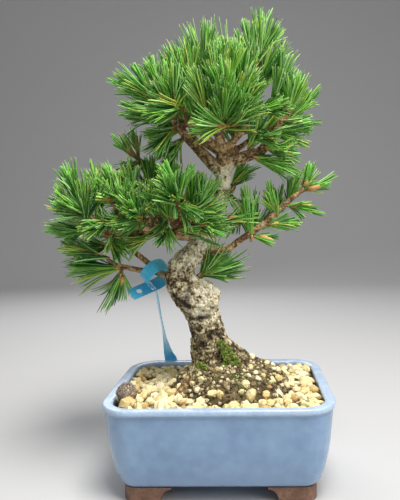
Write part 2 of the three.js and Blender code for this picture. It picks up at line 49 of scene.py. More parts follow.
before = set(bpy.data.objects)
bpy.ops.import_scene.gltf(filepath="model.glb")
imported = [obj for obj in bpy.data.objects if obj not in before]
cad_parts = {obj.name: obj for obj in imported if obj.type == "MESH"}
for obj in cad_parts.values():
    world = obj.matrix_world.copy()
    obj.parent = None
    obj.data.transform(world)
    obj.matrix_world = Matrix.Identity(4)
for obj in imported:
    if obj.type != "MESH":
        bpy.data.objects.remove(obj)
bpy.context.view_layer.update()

# ---------------------------------------------------------------- where things are

MM = 0.001  # metres in a millimetre


def box_mm(node):
    """The low and high corner of a node of the part, in millimetres in the row frame."""
    low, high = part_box(node)
    return np.array(low) / MM, np.array(high) / MM


pot_low, pot_high = box_mm("pot_body")
CENTRE = np.array([(pot_low[0] + pot_high[0]) / 2, (pot_low[1] + pot_high[1]) / 2, 0.0])
POT_LENGTH = pot_high[0] - pot_low[0]
POT_DEPTH = pot_high[1] - pot_low[1]
POT_TOP = pot_high[2]
POT_BOTTOM = pot_low[2]
STONE_TOP = box_mm("gravel_top_dressing")[1][2]
SOIL_TOP = box_mm("potting_soil")[1][2]

POT_CORNER = 26.0
RIM_WIDTH = 8.0
DRAIN_SPACING = 76.0
DRAIN_RADIUS = 8.0
FLOOR_THICKNESS = 7.0
MOUND_MIDDLE_X = 8.0  # to the right of the pot's middle
MOUND_HALF = np.array([53.0, 46.0])  # half its length and half its depth
MOUND_RISE = 22.0  # above the stones

# Limbs: x, y, height above the stones, radius, from the thick end to the tip.
TRUNK_LINE = [
    (-9, 3, -6, 21), (-9, 3, 12, 18.5), (-10, 2, 30, 15.5), (-11, 1, 46, 14.5),
    (-14, -1, 60, 14.5), (-21, -3, 74, 15), (-29, -5, 86, 14.5), (-32, -5, 96, 13),
    (-28, -3, 106, 11), (-20, 1, 115, 10), (-12, 4, 125, 9.5), (-5, 6, 138, 8.5),
    (1, 6, 154, 7.4), (4, 5, 169, 7), (5, 4, 182, 6.6),
]
BURL_CENTRE = (-14, -4, 76)
BURL_RADII = (14.5, 15, 17)
ROOT_LINES = [
    [(-2, 0, 34, 12), (10, 1, 27, 9), (22, 2, 20, 7), (34, 2, 13, 5), (45, 0, 6, 4), (54, -3, -3, 3)],
    [(-12, -6, 20, 8), (-22, -16, 12, 6), (-30, -26, 4, 4), (-36, -32, -3, 3)],
    [(-8, 10, 20, 8), (-4, 24, 13, 6), (2, 36, 5, 4), (6, 42, -3, 3)],
]
BRANCH_LINES = [
    [(5, 4, 180, 6.5), (-8, 1, 193, 5), (-17, -2, 203, 4.5), (-26, -4, 213, 4), (-36, -6, 226, 2.6)],
    [(5, 4, 182, 6), (13, 3, 190, 5.5), (25, 1, 194, 5), (36, 0, 197, 4.4), (44, -1, 206, 3.6),
     (53, -2, 218, 3), (59, -3, 227, 2.4)],
    [(5, 4, 180, 6), (4, 6, 198, 5), (2, 7, 216, 4), (0, 6, 234, 3), (-5, 4, 252, 2.2)],
    [(3, 7, 210, 3.6), (14, 6, 226, 3), (25, 5, 243, 2.6), (32, 4, 256, 2)],
    [(2, 7, 218, 3), (-10, 4, 230, 2.5), (-19, 0, 241, 2)],
    [(5, 2, 188, 4.5), (6, -12, 198, 3.6), (4, -26, 208, 2.8), (0, -34, 216, 2)],
    [(6, -10, 196, 3.4), (18, -22, 206, 2.8), (28, -31, 216, 2)],
    [(5, -10, 197, 3.2), (-8, -24, 208, 2.6), (-18, -33, 217, 2)],
    [(5, 6, 188, 4.5), (5, 20, 198, 3.6), (3, 33, 209, 2.8), (0, 41, 218, 2)],
    [(5, 18, 196, 3.4), (20, 30, 206, 2.8), (32, 37, 216, 2)],
    [(5, 18, 197, 3.2), (-10, 30, 208, 2.6), (-23, 36, 217, 2)],
    [(-8, 5, 133, 6), (-28, 0, 129, 5), (-50, -5, 132, 4.5), (-72, -7, 131, 4), (-92, -6, 132, 3.2),
     (-104, -5, 138, 2.4)],
    [(-28, 0, 130, 3.6), (-30, -10, 144, 2.8), (-31, -15, 157, 2)],
    [(-50, -5, 132, 3.4), (-53, -18, 138, 2.6), (-53, -28, 143, 2)],
    [(-50, -5, 132, 3.4), (-58, -5, 143, 2.6), (-62, -5, 150, 2)],
    [(-74, -7, 131, 3.2), (-80, -12, 145, 2.6), (-84, -13, 156, 2)],
    [(-30, 2, 130, 3.8), (-42, 14, 145, 3.2), (-56, 17, 170, 2.8), (-66, 16, 190, 2)],
    [(-46, -2, 132, 3.4), (-58, 14, 136, 2.8), (-70, 26, 141, 2)],
    [(-30, 4, 130, 3.4), (-38, 18, 134, 2.8), (-44, 30, 139, 2)],
    [(-30, 0, 91, 5.5), (-43, 6, 93, 3.6), (-55, 11, 97, 3), (-70, 10, 99, 2.4), (-88, 4, 104, 2)],
    [(-52, 10, 97, 3), (-62, 14, 104, 2.6), (-74, 14, 114, 2.4), (-84, 11, 124, 1.8)],
    [(-16, 4, 118, 5), (-4, 1, 115, 3.6), (8, -1, 117, 3), (20, -2, 125, 2.8), (37, -3, 136, 2.6),
     (48, -3, 146, 2.4), (61, -4, 157, 2.2), (69, -4, 163, 1.9)],
    [(0, 6, 154, 4), (8, 14, 162, 3), (14, 19, 170, 2)],
]

# Tufts of needles, by group: where each springs from (x, y, height above the stones), how far and
# which way its middle needles reach, its needle bundles, their fan in degrees, its young bundles.
TUFTS = {
    "crown_left": [
        ((-50, -8, 241), (-32, -6, 17), 10, 10, 4),
        ((-52, -10, 245), (-13, -2, 23), 5, 7, 2),
        ((-46, -6, 250), (-5, -2, 24), 9, 9, 1),
        ((-33, -18, 236), (-1, -8, 29), 15, 24, 2),
        ((-30, -2, 252), (-8, -4, 33), 12, 12, 0),
        ((-20, -6, 256), (-1, -2, 34), 12, 12, 0),
        ((-9, -2, 263), (3, -2, 41), 13, 9, 1),
        ((2, -14, 248), (4, -4, 36), 12, 15, 0),
        ((-6, -30, 230), (-6, -14, 26), 12, 20, 0),
        ((-41, -6, 226), (-35, -4, 3), 11, 11, 1),
        ((-36, -8, 215), (-18, -6, -17), 13, 20, 0),
        ((-29, -2, 207), (-10, -6, -15), 8, 22, 0),
        ((-30, -16, 231), (-26, -14, -8), 12, 20, 0),
        ((-47, 2, 236), (-29, 8, 11), 11, 16, 0),
        ((-16, 6, 249), (-11, 10, 37), 12, 16, 0),
        ((-41, 12, 253), (-19, 12, 26), 11, 16, 0),
        ((-35, 14, 221), (-29, 16, -2), 12, 20, 0),
        ((-26, 30, 252), (-18, 20, 38), 12, 22, 0),
        ((-34, 34, 239), (-30, 24, 17), 12, 24, 0),
        ((-12, 34, 262), (-4, 18, 41), 12, 22, 0),
        ((-14, 8, 224), (-4, 4, 24), 12, 34, 0),
        ((-28, 6, 232), (-12, 4, 20), 11, 30, 0),
        ((-14, -14, 222), (2, -10, 20), 9, 28, 1),
        ((-24, -10, 228), (2, -8, 26), 9, 22, 1),
    ],
    "crown_right": [
        ((11, -12, 250), (6, -6, 34), 12, 13, 0),
        ((10, -30, 235), (-3, -18, 22), 13, 20, 1),
        ((22, -10, 249), (5, -6, 29), 12, 14, 1),
        ((31, 0, 271), (-4, -2, 34), 10, 8, 1),
        ((38, 2, 281), (2, 0, 31), 11, 8, 2),
        ((37, 2, 273), (17, 2, 30), 8, 8, 0),
        ((39, -4, 256), (18, -2, 27), 10, 11, 0),
        ((50, -6, 244), (11, -4, 29), 12, 11, 1),
        ((60, -6, 229), (6, -4, 30), 16, 17, 3),
        ((64, -4, 226), (15, -2, 12), 13, 15, 2),
        ((57, -4, 221), (19, -4, -4), 11, 13, 0),
        ((46, -4, 213), (27, -4, -8), 6, 9, 0),
        ((42, -6, 199), (19, -4, -4), 15, 16, 2),
        ((31, -4, 192), (40, -6, -10), 4, 5, 0),
        ((30, -2, 194), (33, -4, -19), 2, 3, 0),
        ((7, -30, 219), (3, -20, 24), 12, 26, 1),
        ((9, -30, 214), (-22, -20, -2), 7, 20, 0),
        ((12, -30, 214), (20, -20, 6), 7, 18, 0),
        ((21, -20, 235), (19, -16, 11), 13, 18, 0),
        ((38, -14, 228), (20, -12, 3), 12, 17, 0),
        ((34, -10, 209), (20, -14, -6), 8, 18, 0),
        ((24, -18, 214), (10, -18, 14), 9, 18, 0),
        ((19, -28, 224), (16, -20, 14), 11, 20, 0),
        ((16, 14, 269), (4, 12, 29), 11, 15, 0),
        ((40, 18, 257), (13, 12, 29), 12, 17, 0),
        ((56, 16, 240), (19, 12, 20), 12, 18, 0),
        ((53, 20, 223), (23, 20, 7), 12, 22, 0),
        ((34, 30, 222), (19, 26, -5), 12, 24, 0),
        ((20, 36, 249), (10, 22, 33), 13, 24, 0),
        ((4, 40, 239), (-5, 26, 27), 13, 28, 0),
        ((10, 30, 277), (-5, 12, 31), 10, 18, 0),
        ((6, 10, 226), (2, 4, 26), 12, 34, 0),
        ((26, 8, 222), (8, 4, 22), 12, 34, 0),
        ((44, 6, 216), (14, 4, 14), 11, 30, 0),
        ((16, -8, 212), (2, -8, 18), 10, 34, 0),
        ((30, -9, 205), (6, -9, 10), 9, 32, 0),
        ((2, -10, 214), (-8, -8, 16), 8, 30, 0),
    ],
    "pad": [
        ((-71, 16, 197), (-19, 0, 18), 3, 5, 3),
        ((-70, 16, 202), (-3, 0, 16), 2, 5, 3),
        ((-69, 16, 193), (-13, -2, -9), 6, 16, 0),
        ((-68, 18, 195), (10, 2, -10), 6, 18, 0),
        ((-112, -14, 157), (-9, -2, 30), 8, 13, 4),
        ((-108, -18, 148), (-23, -6, 12), 10, 15, 1),
        ((-104, -22, 150), (9, -16, 24), 10, 20, 1),
        ((-99, -12, 155), (3, -2, 30), 9, 12, 1),
        ((-80, -16, 161), (-7, -2, 27), 9, 12, 2),
        ((-80, -22, 159), (-17, -12, 2), 6, 10, 3),
        ((-111, -8, 135), (-31, -2, -0), 14, 11, 1),
        ((-106, -4, 115), (-23, -4, 7), 12, 15, 1),
        ((-84, 4, 102), (-45, -2, 1), 13, 9, 0),
        ((-84, 2, 98), (-11, 0, -33), 3, 8, 0),
        ((-84, 4, 98), (-1, 0, -30), 2, 5, 0),
        ((-60, -24, 146), (-8, -24, 12), 12, 24, 1),
        ((-62, -22, 142), (-18, -20, -8), 7, 18, 0),
        ((-73, 0, 166), (1, 2, 25), 11, 18, 0),
        ((-56, 6, 171), (-1, 2, 24), 11, 18, 0),
        ((-29, -26, 165), (-11, -6, 19), 3, 14, 6),
        ((-29, -26, 165), (12, -6, 17), 3, 14, 5),
        ((-32, -28, 157), (-4, -24, 16), 12, 26, 1),
        ((-28, -28, 152), (16, -22, -8), 7, 18, 0),
        ((-17, -12, 148), (14, -6, 32), 11, 11, 0),
        ((-24, -20, 145), (34, -10, 1), 11, 14, 0),
        ((-29, -14, 133), (46, -10, 0), 5, 8, 0),
        ((-42, -14, 137), (0, -22, -17), 9, 24, 0),
        ((-90, -8, 130), (12, -16, -17), 9, 20, 0),
        ((-47, -22, 152), (-6, -22, 16), 11, 22, 0),
        ((-13, -18, 137), (17, -22, -3), 7, 20, 0),
        ((-55, -12, 129), (-23, -8, -8), 6, 9, 0),
        ((-90, -22, 141), (-9, -24, -7), 10, 26, 0),
        ((-74, -22, 150), (8, -22, 20), 11, 22, 1),
        ((-44, -6, 169), (11, 0, 23), 9, 15, 0),
        ((-22, -10, 158), (10, -10, 22), 9, 16, 0),
        ((-103, 12, 169), (-11, 14, 21), 11, 22, 0),
        ((-90, 30, 161), (-16, 20, 22), 11, 26, 0),
        ((-64, 34, 164), (-4, 22, 24), 12, 26, 0),
        ((-119, 14, 142), (-29, 20, 8), 11, 22, 0),
        ((-101, 28, 138), (-30, 24, 4), 12, 26, 0),
        ((-74, 38, 148), (-10, 28, 10), 12, 28, 0),
        ((-46, 28, 160), (5, 22, 21), 10, 26, 0),
        ((-103, 14, 120), (-28, 20, -4), 10, 22, 0),
        ((-89, 20, 130), (-14, 24, -8), 8, 26, 0),
        ((-125, -2, 150), (-10, -2, 22), 7, 12, 1),
        ((-50, 4, 140), (-4, 2, 22), 12, 34, 0),
        ((-80, 4, 138), (-6, 2, 20), 12, 34, 0),
        ((-66, -8, 134), (0, -14, 10), 10, 34, 0),
        ((-30, 2, 140), (4, 0, 22), 11, 32, 0),
        ((-38, -12, 142), (-6, -10, 18), 10, 30, 1),
        ((-100, 4, 132), (-14, 2, 12), 10, 30, 0),
    ],
    "right_branch": [
        ((28, -3, 127), (-5, -1, 38), 11, 13, 1),
        ((12, 20, 172), (13, 2, 16), 8, 20, 0),
        ((71, -4, 164), (7, -2, 20), 4, 12, 5),
        ((72, -4, 164), (19, -2, 5), 3, 10, 5),
        ((49, -3, 145), (-6, -1, 22), 9, 16, 1),
        ((58, -3, 152), (15, -3, -3), 7, 18, 0),
        ((43, -3, 136), (22, -5, 2), 4, 14, 0),
        ((32, -4, 127), (13, -4, -3), 2, 10, 0),
        ((19, 12, 146), (-9, -2, -15), 5, 20, 0),
        ((5, -6, 140), (25, -6, 8), 3, 5, 0),
        ((61, 2, 157), (8, 8, 19), 7, 20, 0),
        ((46, 4, 144), (8, 22, 18), 7, 22, 0),
        ((30, 4, 130), (8, 18, 24), 7, 20, 0),
        ((-13, 2, 96), (19, -2, 25), 6, 10, 0),
        ((-12, 2, 95), (39, -4, 12), 5, 7, 0),
        ((-12, 2, 95), (28, -2, -1), 6, 11, 0),
        ((-11, 6, 97), (16, 22, 10), 5, 16, 0),
    ],
}
# The part's shoots that each group stands for, by the start of their names.
FOLIAGE_NODES = {
    "crown_left": ("crown_shoot_left", "crown_shoot_top", "crown_shoot_front_left"),
    "crown_right": ("crown_shoot",),
    "pad": ("pad_shoot",),
    "right_branch": ("right_shoot", "trunk_sprout"),
}

GOLDEN_ANGLE = math.pi * (3 - math.sqrt(5))

# ---------------------------------------------------------------- numbers and noise


def unit(vectors):
    """Each vector over its own length."""
    vectors = np.asarray(vectors, float)
    return vectors / np.maximum(np.linalg.norm(vectors, axis=-1, keepdims=True), 1e-9)


def lattice(cells, seed):
    """A number from 0 to 1 for each whole-number cell: the fraction of a large, fast sine."""
    mixed = np.sin(cells @ np.array([127.1, 311.7, 74.7]) + seed * 19.19) * 43758.5453
    return mixed - np.floor(mixed)


def noise(points, size, seed):
    """Smooth noise from -1 to 1: lattice numbers at the corners of cubes of that size, blended
    across each cube with 3t^2 - 2t^3."""
    scaled = np.asarray(points, float) / size
    low = np.floor(scaled)
    t = scaled - low
    t = t * t * (3 - 2 * t)
    total = np.zeros(len(scaled))
    for corner in itertools.product((0, 1), repeat=3):
        share = np.prod(np.where(np.array(corner) == 1, t, 1 - t), axis=1)
        total += share * lattice(low + corner, seed)
    return total * 2 - 1


def side_vectors(aims):
    """Two unit vectors square to each aim and to each other: the first is the cross product
    with the axis that the aim leans on least."""
    aims = unit(aims)
    least = np.eye(3)[np.argmin(np.abs(aims), axis=-1)]
    first = unit(np.cross(aims, least))
    return first, np.cross(aims, first)


def smooth_line(knots, count):
    """A Catmull-Rom line through the knots, sampled at evenly spaced parameters: each span is
    the usual cubic of its two knots and their two neighbours, with the ends mirrored."""
    knots = np.asarray(knots, float)
    padded = np.vstack([2 * knots[0] - knots[1], knots, 2 * knots[-1] - knots[-2]])
    at = np.linspace(0, len(knots) - 1, count)
    span = np.minimum(at.astype(int), len(knots) - 2)
    t = (at - span)[:, None]
    a, b, c, d = (padded[span + i] for i in range(4))
    return 0.5 * (2 * b + (c - a) * t + (2 * a - 5 * b + 4 * c - d) * t**2 + (3 * b - a - 3 * c + d) * t**3)


# ---------------------------------------------------------------- meshes


def new_mesh(name, points, *face_sets):
    """A mesh from points in millimetres round the pot's middle and arrays of faces."""
    mesh = bpy.data.meshes.new(name)
    corners = np.concatenate([faces.ravel() for faces in face_sets])
    sizes = np.concatenate([np.full(len(faces), faces.shape[1]) for faces in face_sets])
    mesh.vertices.add(len(points))
    mesh.vertices.foreach_set("co", ((points + CENTRE) * MM).ravel().astype(np.float32))
    mesh.loops.add(len(corners))
    mesh.loops.foreach_set("vertex_index", corners.astype(np.int32))
    mesh.polygons.add(len(sizes))
    mesh.polygons.foreach_set("loop_start", (np.cumsum(sizes) - sizes).astype(np.int32))
    mesh.update(calc_edges=True)
    return mesh


def add_piece(name, mesh, look, nodes, smooth=True):
    """Shows a mesh as a piece that stands for some nodes of the part."""
    piece = bpy.data.objects.new(name, mesh)
    bpy.context.scene.collection.objects.link(piece)
    mesh.materials.append(look)
    mesh.polygons.foreach_set("use_smooth", np.full(len(mesh.polygons), smooth))
    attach(piece, "root")
    if nodes:
        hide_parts(*nodes)
    return piece


def set_tint(mesh, values, name="tint"):
    """One number for each point, which the look reads as an attribute."""
    attribute = mesh.attributes.new(name, "FLOAT", "POINT")
    attribute.data.foreach_set("value", np.asarray(values, np.float32))


def set_pattern(mesh, across, up):
    """The piece's own pattern coordinates, one pair for each face corner."""
    layer = mesh.uv_layers.new(name="OFBake")
    layer.data.foreach_set("uv", np.stack([across, up], 1).ravel().astype(np.float32))


def grid_faces(rows, columns, wrap):
    """The four-sided faces of a grid of points, row by row; wrap joins the last column to the first."""
    spans = columns if wrap else columns - 1
    row, column = np.meshgrid(np.arange(rows - 1), np.arange(spans), indexing="ij")
    beside = (column + 1) % columns
    return np.stack([row * columns + column, row * columns + beside,
                     (row + 1) * columns + beside, (row + 1) * columns + column], -1).reshape(-1, 4)


def facing_out(points, faces):
    """The faces, turned over if the volume they enclose comes out negative: the sum of a . (b x c)
    over their triangles is six times that volume."""
    a, b, c = (points[faces[:, i]] for i in range(3))
    volume = np.einsum("ij,ij->i", a, np.cross(b, c)).sum()
    if faces.shape[1] == 4:
        volume += np.einsum("ij,ij->i", a, np.cross(c, points[faces[:, 3]])).sum()
    return faces if volume > 0 else faces[:, ::-1]


def repeat_shape(shape_faces, corners, count):
    """The faces of one shape for each of count copies, whose points follow one another."""
    offset = (np.arange(count) * corners)[:, None, None]
    return (shape_faces[None] + offset).reshape(-1, shape_faces.shape[1])


def fan_caps(rings, around):
    """The triangles that close a grid of rings with one point below the first ring and one above
    the last: those two points follow the grid's own."""
    turn = np.arange(around)
    beside = (turn + 1) % around
    last = (rings - 1) * around
    low_cap = np.stack([np.full(around, rings * around), beside, turn], 1)
    high_cap = np.stack([np.full(around, rings * around + 1), last + turn, last + beside], 1)
    return np.vstack([low_cap, high_cap])


def cut_in_two(quads):
    """Two triangles for each four-sided face."""
    return np.vstack([quads[:, [0, 1, 2]], quads[:, [0, 2, 3]]])


def ring_ways(first, second, turns):
    """Unit vectors round a line: cos a first + sin a second, for each angle a."""
    return np.cos(turns)[..., None] * first[:, None] + np.sin(turns)[..., None] * second[:, None]


def tube(knots, rings, sides):
    """A closed round tube along a smooth line: point = line(t) + radius(t) (cos a u + sin a v).
    Knots are x, y, z, radius. One point a little beyond each end closes it."""
    line = smooth_line(knots, rings)
    middle, radius = line[:, :3], line[:, 3]
    ahead = unit(np.gradient(middle, axis=0))
    first, second = side_vectors(np.broadcast_to(unit(middle[-1] - middle[0]), ahead.shape))
    first = unit(first - ahead * np.sum(first * ahead, 1, keepdims=True))
    second = np.cross(ahead, first)
    ring = ring_ways(first, second, np.arange(sides)[None] * 2 * math.pi / sides)
    points = (middle[:, None] + radius[:, None, None] * ring).reshape(-1, 3)
    low_end = middle[0] - ahead[0] * radius[0] * 0.3
    high_end = middle[-1] + ahead[-1] * radius[-1] * 0.6
    points = np.vstack([points, low_end, high_end])
    triangles = np.vstack([cut_in_two(grid_faces(rings, sides, True)), fan_caps(rings, sides)])
    return points, facing_out(points, triangles)


def ball_shape(rings, around, twist):
    """A ball of radius 1: point = (sin b cos a, sin b sin a, cos b) on rings between two poles.
    Every second ring is turned by the twist, as a share of the step from point to point."""
    falls = np.linspace(0, math.pi, rings + 2)[1:-1]
    fall, turn = np.meshgrid(falls, np.arange(around) * 2 * math.pi / around, indexing="ij")
    turn = turn + (np.arange(rings) % 2)[:, None] * twist * 2 * math.pi / around
    ball = np.stack([np.sin(fall) * np.cos(turn), np.sin(fall) * np.sin(turn), np.cos(fall)], -1)
    points = np.vstack([ball.reshape(-1, 3), [0, 0, 1], [0, 0, -1]])
    faces = np.vstack([cut_in_two(grid_faces(rings, around, True)), fan_caps(rings, around)])
    return points, facing_out(points, faces)


def joined(shapes):
    """Several (points, faces) pairs as one."""
    counts = np.cumsum([0] + [len(points) for points, _ in shapes[:-1]])
    return np.vstack([p for p, _ in shapes]), np.vstack([f + n for (_, f), n in zip(shapes, counts)])


# ---------------------------------------------------------------- looks


def put(tree, kind, inputs=None, **settings):
    """Adds a node. Settings are its own values; an input takes a value or another node's output."""
    made = tree.nodes.new(kind)
    for key, value in settings.items():
        setattr(made, key, value)
    for key, value in (inputs or {}).items():
        if isinstance(value, bpy.types.NodeSocket):
            tree.links.new(value, made.inputs[key])
        else:
            made.inputs[key].default_value = value
    return made


def ramp(tree, factor, stops):
    """A colour ramp: stops are (place, (r, g, b)). Gives its colour output."""
    made = put(tree, "ShaderNodeValToRGB", {0: factor})
    elements = made.color_ramp.elements
    while len(elements) < len(stops):
        elements.new(0.5)
    for element, (place, tone) in zip(elements, stops):
        element.position = place
        element.color = (*tone, 1)
    return made.outputs[0]


def mix(tree, factor, first, second):
    """The second colour over the first, by a factor."""
    made = put(tree, "ShaderNodeMix", data_type="RGBA")
    for index, value in ((0, factor), (6, first), (7, second)):
        if isinstance(value, bpy.types.NodeSocket):
            tree.links.new(value, made.inputs[index])
        elif index:
            made.inputs[index].default_value = (*value, 1)
        else:
            made.inputs[index].default_value = value
    return made.outputs[2]


def math_node(tree, operation, first, second=0.0, third=0.0):
    """A number worked out from up to three others."""
    return put(tree, "ShaderNodeMath", {0: first, 1: second, 2: third}, operation=operation).outputs[0]


def share_of(tree, mask, share):
    """A mask made weaker."""
    return math_node(tree, "MULTIPLY", mask, share)


def spread(tree, value, low, high, out_low=0.0, out_high=1.0):
    """A number carried smoothly from one range to another and kept inside it."""
    made = put(tree, "ShaderNodeMapRange", {0: value, 1: low, 2: high, 3: out_low, 4: out_high},
               interpolation_type="SMOOTHSTEP")
    return made.outputs[0]


def object_place(tree):
    """Where a point is in the piece's own space, which is the row frame, in metres."""
    return put(tree, "ShaderNodeTexCoord").outputs["Object"]


def height_of(tree, place):
    """How high a place is above the ground, in metres."""
    return put(tree, "ShaderNodeSeparateXYZ", {0: place}).outputs[2]


def fine_noise(tree, place, scale, detail):
    """Noise from 0 to 1, with so many waves to the metre."""
    return put(tree, "ShaderNodeTexNoise", {"Vector": place, "Scale": scale, "Detail": detail}).outputs[0]


def cells(tree, place, scale):
    """A pattern of cells, so many to the metre: their outputs are Distance and Color."""
    return put(tree, "ShaderNodeTexVoronoi", {"Vector": place, "Scale": scale}).outputs


def speckle_group():
    """Two layers of noise as one mask: a broad one, broken up by one four times finer."""
    name = "speckle"
    if name in bpy.data.node_groups:
        return bpy.data.node_groups[name]
    tree = bpy.data.node_groups.new(name, "ShaderNodeTree")
    tree.interface.new_socket("Place", in_out="INPUT", socket_type="NodeSocketVector")
    for label in ("Grain Size", "Low", "High"):
        tree.interface.new_socket(label, in_out="INPUT", socket_type="NodeSocketFloat")
    tree.interface.new_socket("Mask", in_out="OUTPUT", socket_type="NodeSocketFloat")
    given = put(tree, "NodeGroupInput").outputs
    scale = math_node(tree, "DIVIDE", 1.0, given["Grain Size"])
    broad = fine_noise(tree, given["Place"], scale, 3.0)
    fine = fine_noise(tree, given["Place"], math_node(tree, "MULTIPLY", scale, 4.0), 2.0)
    both = math_node(tree, "MULTIPLY_ADD", fine, 0.35, share_of(tree, broad, 0.65))
    mask = put(tree, "ShaderNodeMapRange", {0: both, 1: given["Low"], 2: given["High"]}).outputs[0]
    put(tree, "NodeGroupOutput", {"Mask": mask})
    return tree


def speckle(tree, place, size_mm, low, high):
    """A mask of specks of about that size: 0 below the low value of the noise, 1 above the high."""
    made = put(tree, "ShaderNodeGroup", node_tree=speckle_group())
    tree.links.new(place, made.inputs["Place"])
    made.inputs["Grain Size"].default_value = size_mm * MM
    made.inputs["Low"].default_value = low
    made.inputs["High"].default_value = high
    return made.outputs[0]


def bump(tree, height, depth_mm, strength):
    """A bump whose height runs over that many millimetres."""
    inputs = {"Strength": strength, "Distance": depth_mm * MM, "Height": height}
    return put(tree, "ShaderNodeBump", inputs).outputs[0]


def new_look(name, **constants):
    """A material with one Principled shader, whose constant sockets are set by name."""
    look = bpy.data.materials.new(name)
    look.use_nodes = True
    shader = look.node_tree.nodes["Principled BSDF"]
    for key, value in constants.items():
        shader.inputs[key.replace("_", " ")].default_value = value
    return look, look.node_tree, shader


def feed(tree, shader, **sockets):
    """Links outputs into the shader's sockets by name."""
    for key, value in sockets.items():
        tree.links.new(value, shader.inputs[key.replace("_", " ")])


def glaze_look(settings):
    """Pale blue glaze: thinner and paler on the rim's edge, where the paler colour is also a painted
    highlight, deeper where it pools, finely speckled.
    """
    look, tree, shader = new_look("glaze", Roughness=0.22, Coat_Weight=0.5, Coat_Roughness=0.08)
    place = object_place(tree)
    height = height_of(tree, place)
    clouds = speckle(tree, place, 38, 0.38, 0.66)
    body = mix(tree, clouds, settings.glaze_deep, settings.glaze_colour)
    pooled = spread(tree, height, (POT_BOTTOM + 18) * MM, (POT_BOTTOM + 2) * MM)
    body = mix(tree, share_of(tree, pooled, 0.55), body, settings.glaze_deep)
    # Painted highlight: the top of the rim is painted paler, over the thinner glaze on its edge.
    edge = spread(tree, height, (POT_TOP - 6.5) * MM, (POT_TOP - 1.5) * MM)
    streak = speckle(tree, place, 9, 0.35, 0.62)
    thin = math_node(tree, "MULTIPLY", edge, math_node(tree, "MULTIPLY_ADD", streak, 0.4, 0.5))
    body = mix(tree, thin, body, settings.glaze_pale_and_highlight)
    pores = speckle(tree, place, 1.1, 0.68, 0.76)
    body = mix(tree, share_of(tree, pores, 0.35), body, (0.20, 0.26, 0.38))
    waves = fine_noise(tree, place, 42.0, 1.0)
    feed(tree, shader, Base_Color=body, Normal=bump(tree, waves, 0.5, 0.15))
    return look


def clay_look():
    """Bare fired clay: warm brown with darker grog and a rough, sandy surface."""
    look, tree, shader = new_look("bare_clay", Roughness=0.85)
    place = object_place(tree)
    body = mix(tree, speckle(tree, place, 12, 0.35, 0.65), (0.16, 0.085, 0.055), (0.30, 0.17, 0.115))
    body = mix(tree, speckle(tree, place, 1.2, 0.58, 0.66), body, (0.09, 0.055, 0.04))
    grain = fine_noise(tree, place, 900.0, 3.0)
    feed(tree, shader, Base_Color=body, Normal=bump(tree, grain, 0.3, 0.8))
    return look


def screen_look():
    """Black screen plastic, a little worn."""
    look, tree, shader = new_look("screen_plastic", Roughness=0.55)
    worn = speckle(tree, object_place(tree), 2, 0.4, 0.7)
    feed(tree, shader, Base_Color=mix(tree, worn, (0.012, 0.012, 0.014), (0.035, 0.035, 0.038)))
    return look


def wire_look():
    """Dull wire."""
    look, tree, shader = new_look("wire", Roughness=0.35, Metallic=1.0)
    dull = speckle(tree, object_place(tree), 3, 0.4, 0.7)
    feed(tree, shader, Base_Color=mix(tree, dull, (0.42, 0.41, 0.39), (0.66, 0.65, 0.62)))
    return look


def soil_look():
    """Potting soil: small grains, each with a brown of its own."""
    look, tree, shader = new_look("potting_soil", Roughness=0.95)
    soil_grains = cells(tree, object_place(tree), 330.0)
    body = ramp(tree, put(tree, "ShaderNodeSeparateColor", {0: soil_grains["Color"]}).outputs[0],
                [(0.0, (0.02, 0.012, 0.008)), (0.6, (0.08, 0.05, 0.03)), (1.0, (0.30, 0.24, 0.15))])
    feed(tree, shader, Base_Color=body, Normal=bump(tree, soil_grains["Distance"], -1.0, 1.0))
    return look


def tint_value(tree, name="tint"):
    """The number that set_tint gave to the point."""
    return put(tree, "ShaderNodeAttribute", attribute_name=name).outputs["Fac"]


def pumice_look():
    """Pumice grains: each takes its colour from its tint, stained and pitted, with painted shade low down
    between the others."""
    look, tree, shader = new_look("pumice", Roughness=0.9)
    place = object_place(tree)
    body = ramp(tree, tint_value(tree), [
        (0.0, (0.28, 0.15, 0.06)), (0.1, (0.48, 0.28, 0.10)), (0.25, (0.66, 0.46, 0.18)),
        (0.45, (0.78, 0.64, 0.32)), (0.7, (0.84, 0.75, 0.45)), (0.9, (0.88, 0.82, 0.58)),
        (1.0, (0.84, 0.64, 0.18))])
    stain = speckle(tree, place, 2.2, 0.48, 0.66)
    body = mix(tree, share_of(tree, stain, 0.4), body, (0.62, 0.42, 0.19))
    # Painted shade: the grains turn dark towards the bottom of the layer, between the others.
    painted_gap_shade = spread(tree, height_of(tree, place), (STONE_TOP + 0.6) * MM, (STONE_TOP - 3.2) * MM)
    body = mix(tree, share_of(tree, painted_gap_shade, 0.88), body, (0.17, 0.105, 0.045))
    pits = cells(tree, place, 1100.0)["Distance"]
    body = mix(tree, share_of(tree, spread(tree, pits, 0.32, 0.05), 0.35), body, (0.28, 0.19, 0.11))
    feed(tree, shader, Base_Color=body, Normal=bump(tree, pits, 0.35, 0.7))
    return look


def grit_look():
    """Old root soil: brown fines and crumbs, with pale specks and patches of a green cast."""
    look, tree, shader = new_look("root_grit", Roughness=0.95)
    place = object_place(tree)
    body = ramp(tree, tint_value(tree), [
        (0.0, (0.03, 0.02, 0.010)), (0.3, (0.13, 0.088, 0.042)), (0.55, (0.36, 0.275, 0.145)),
        (0.8, (0.68, 0.58, 0.35)), (1.0, (0.92, 0.84, 0.58))])
    fines = speckle(tree, place, 1.6, 0.48, 0.62)
    body = mix(tree, share_of(tree, fines, 0.6), body, (0.06, 0.042, 0.026))
    green = speckle(tree, place, 9, 0.52, 0.62)
    body = mix(tree, share_of(tree, green, 0.35), body, (0.16, 0.20, 0.05))
    grain = fine_noise(tree, place, 800.0, 4.0)
    feed(tree, shader, Base_Color=body, Normal=bump(tree, grain, 0.7, 1.0))
    return look


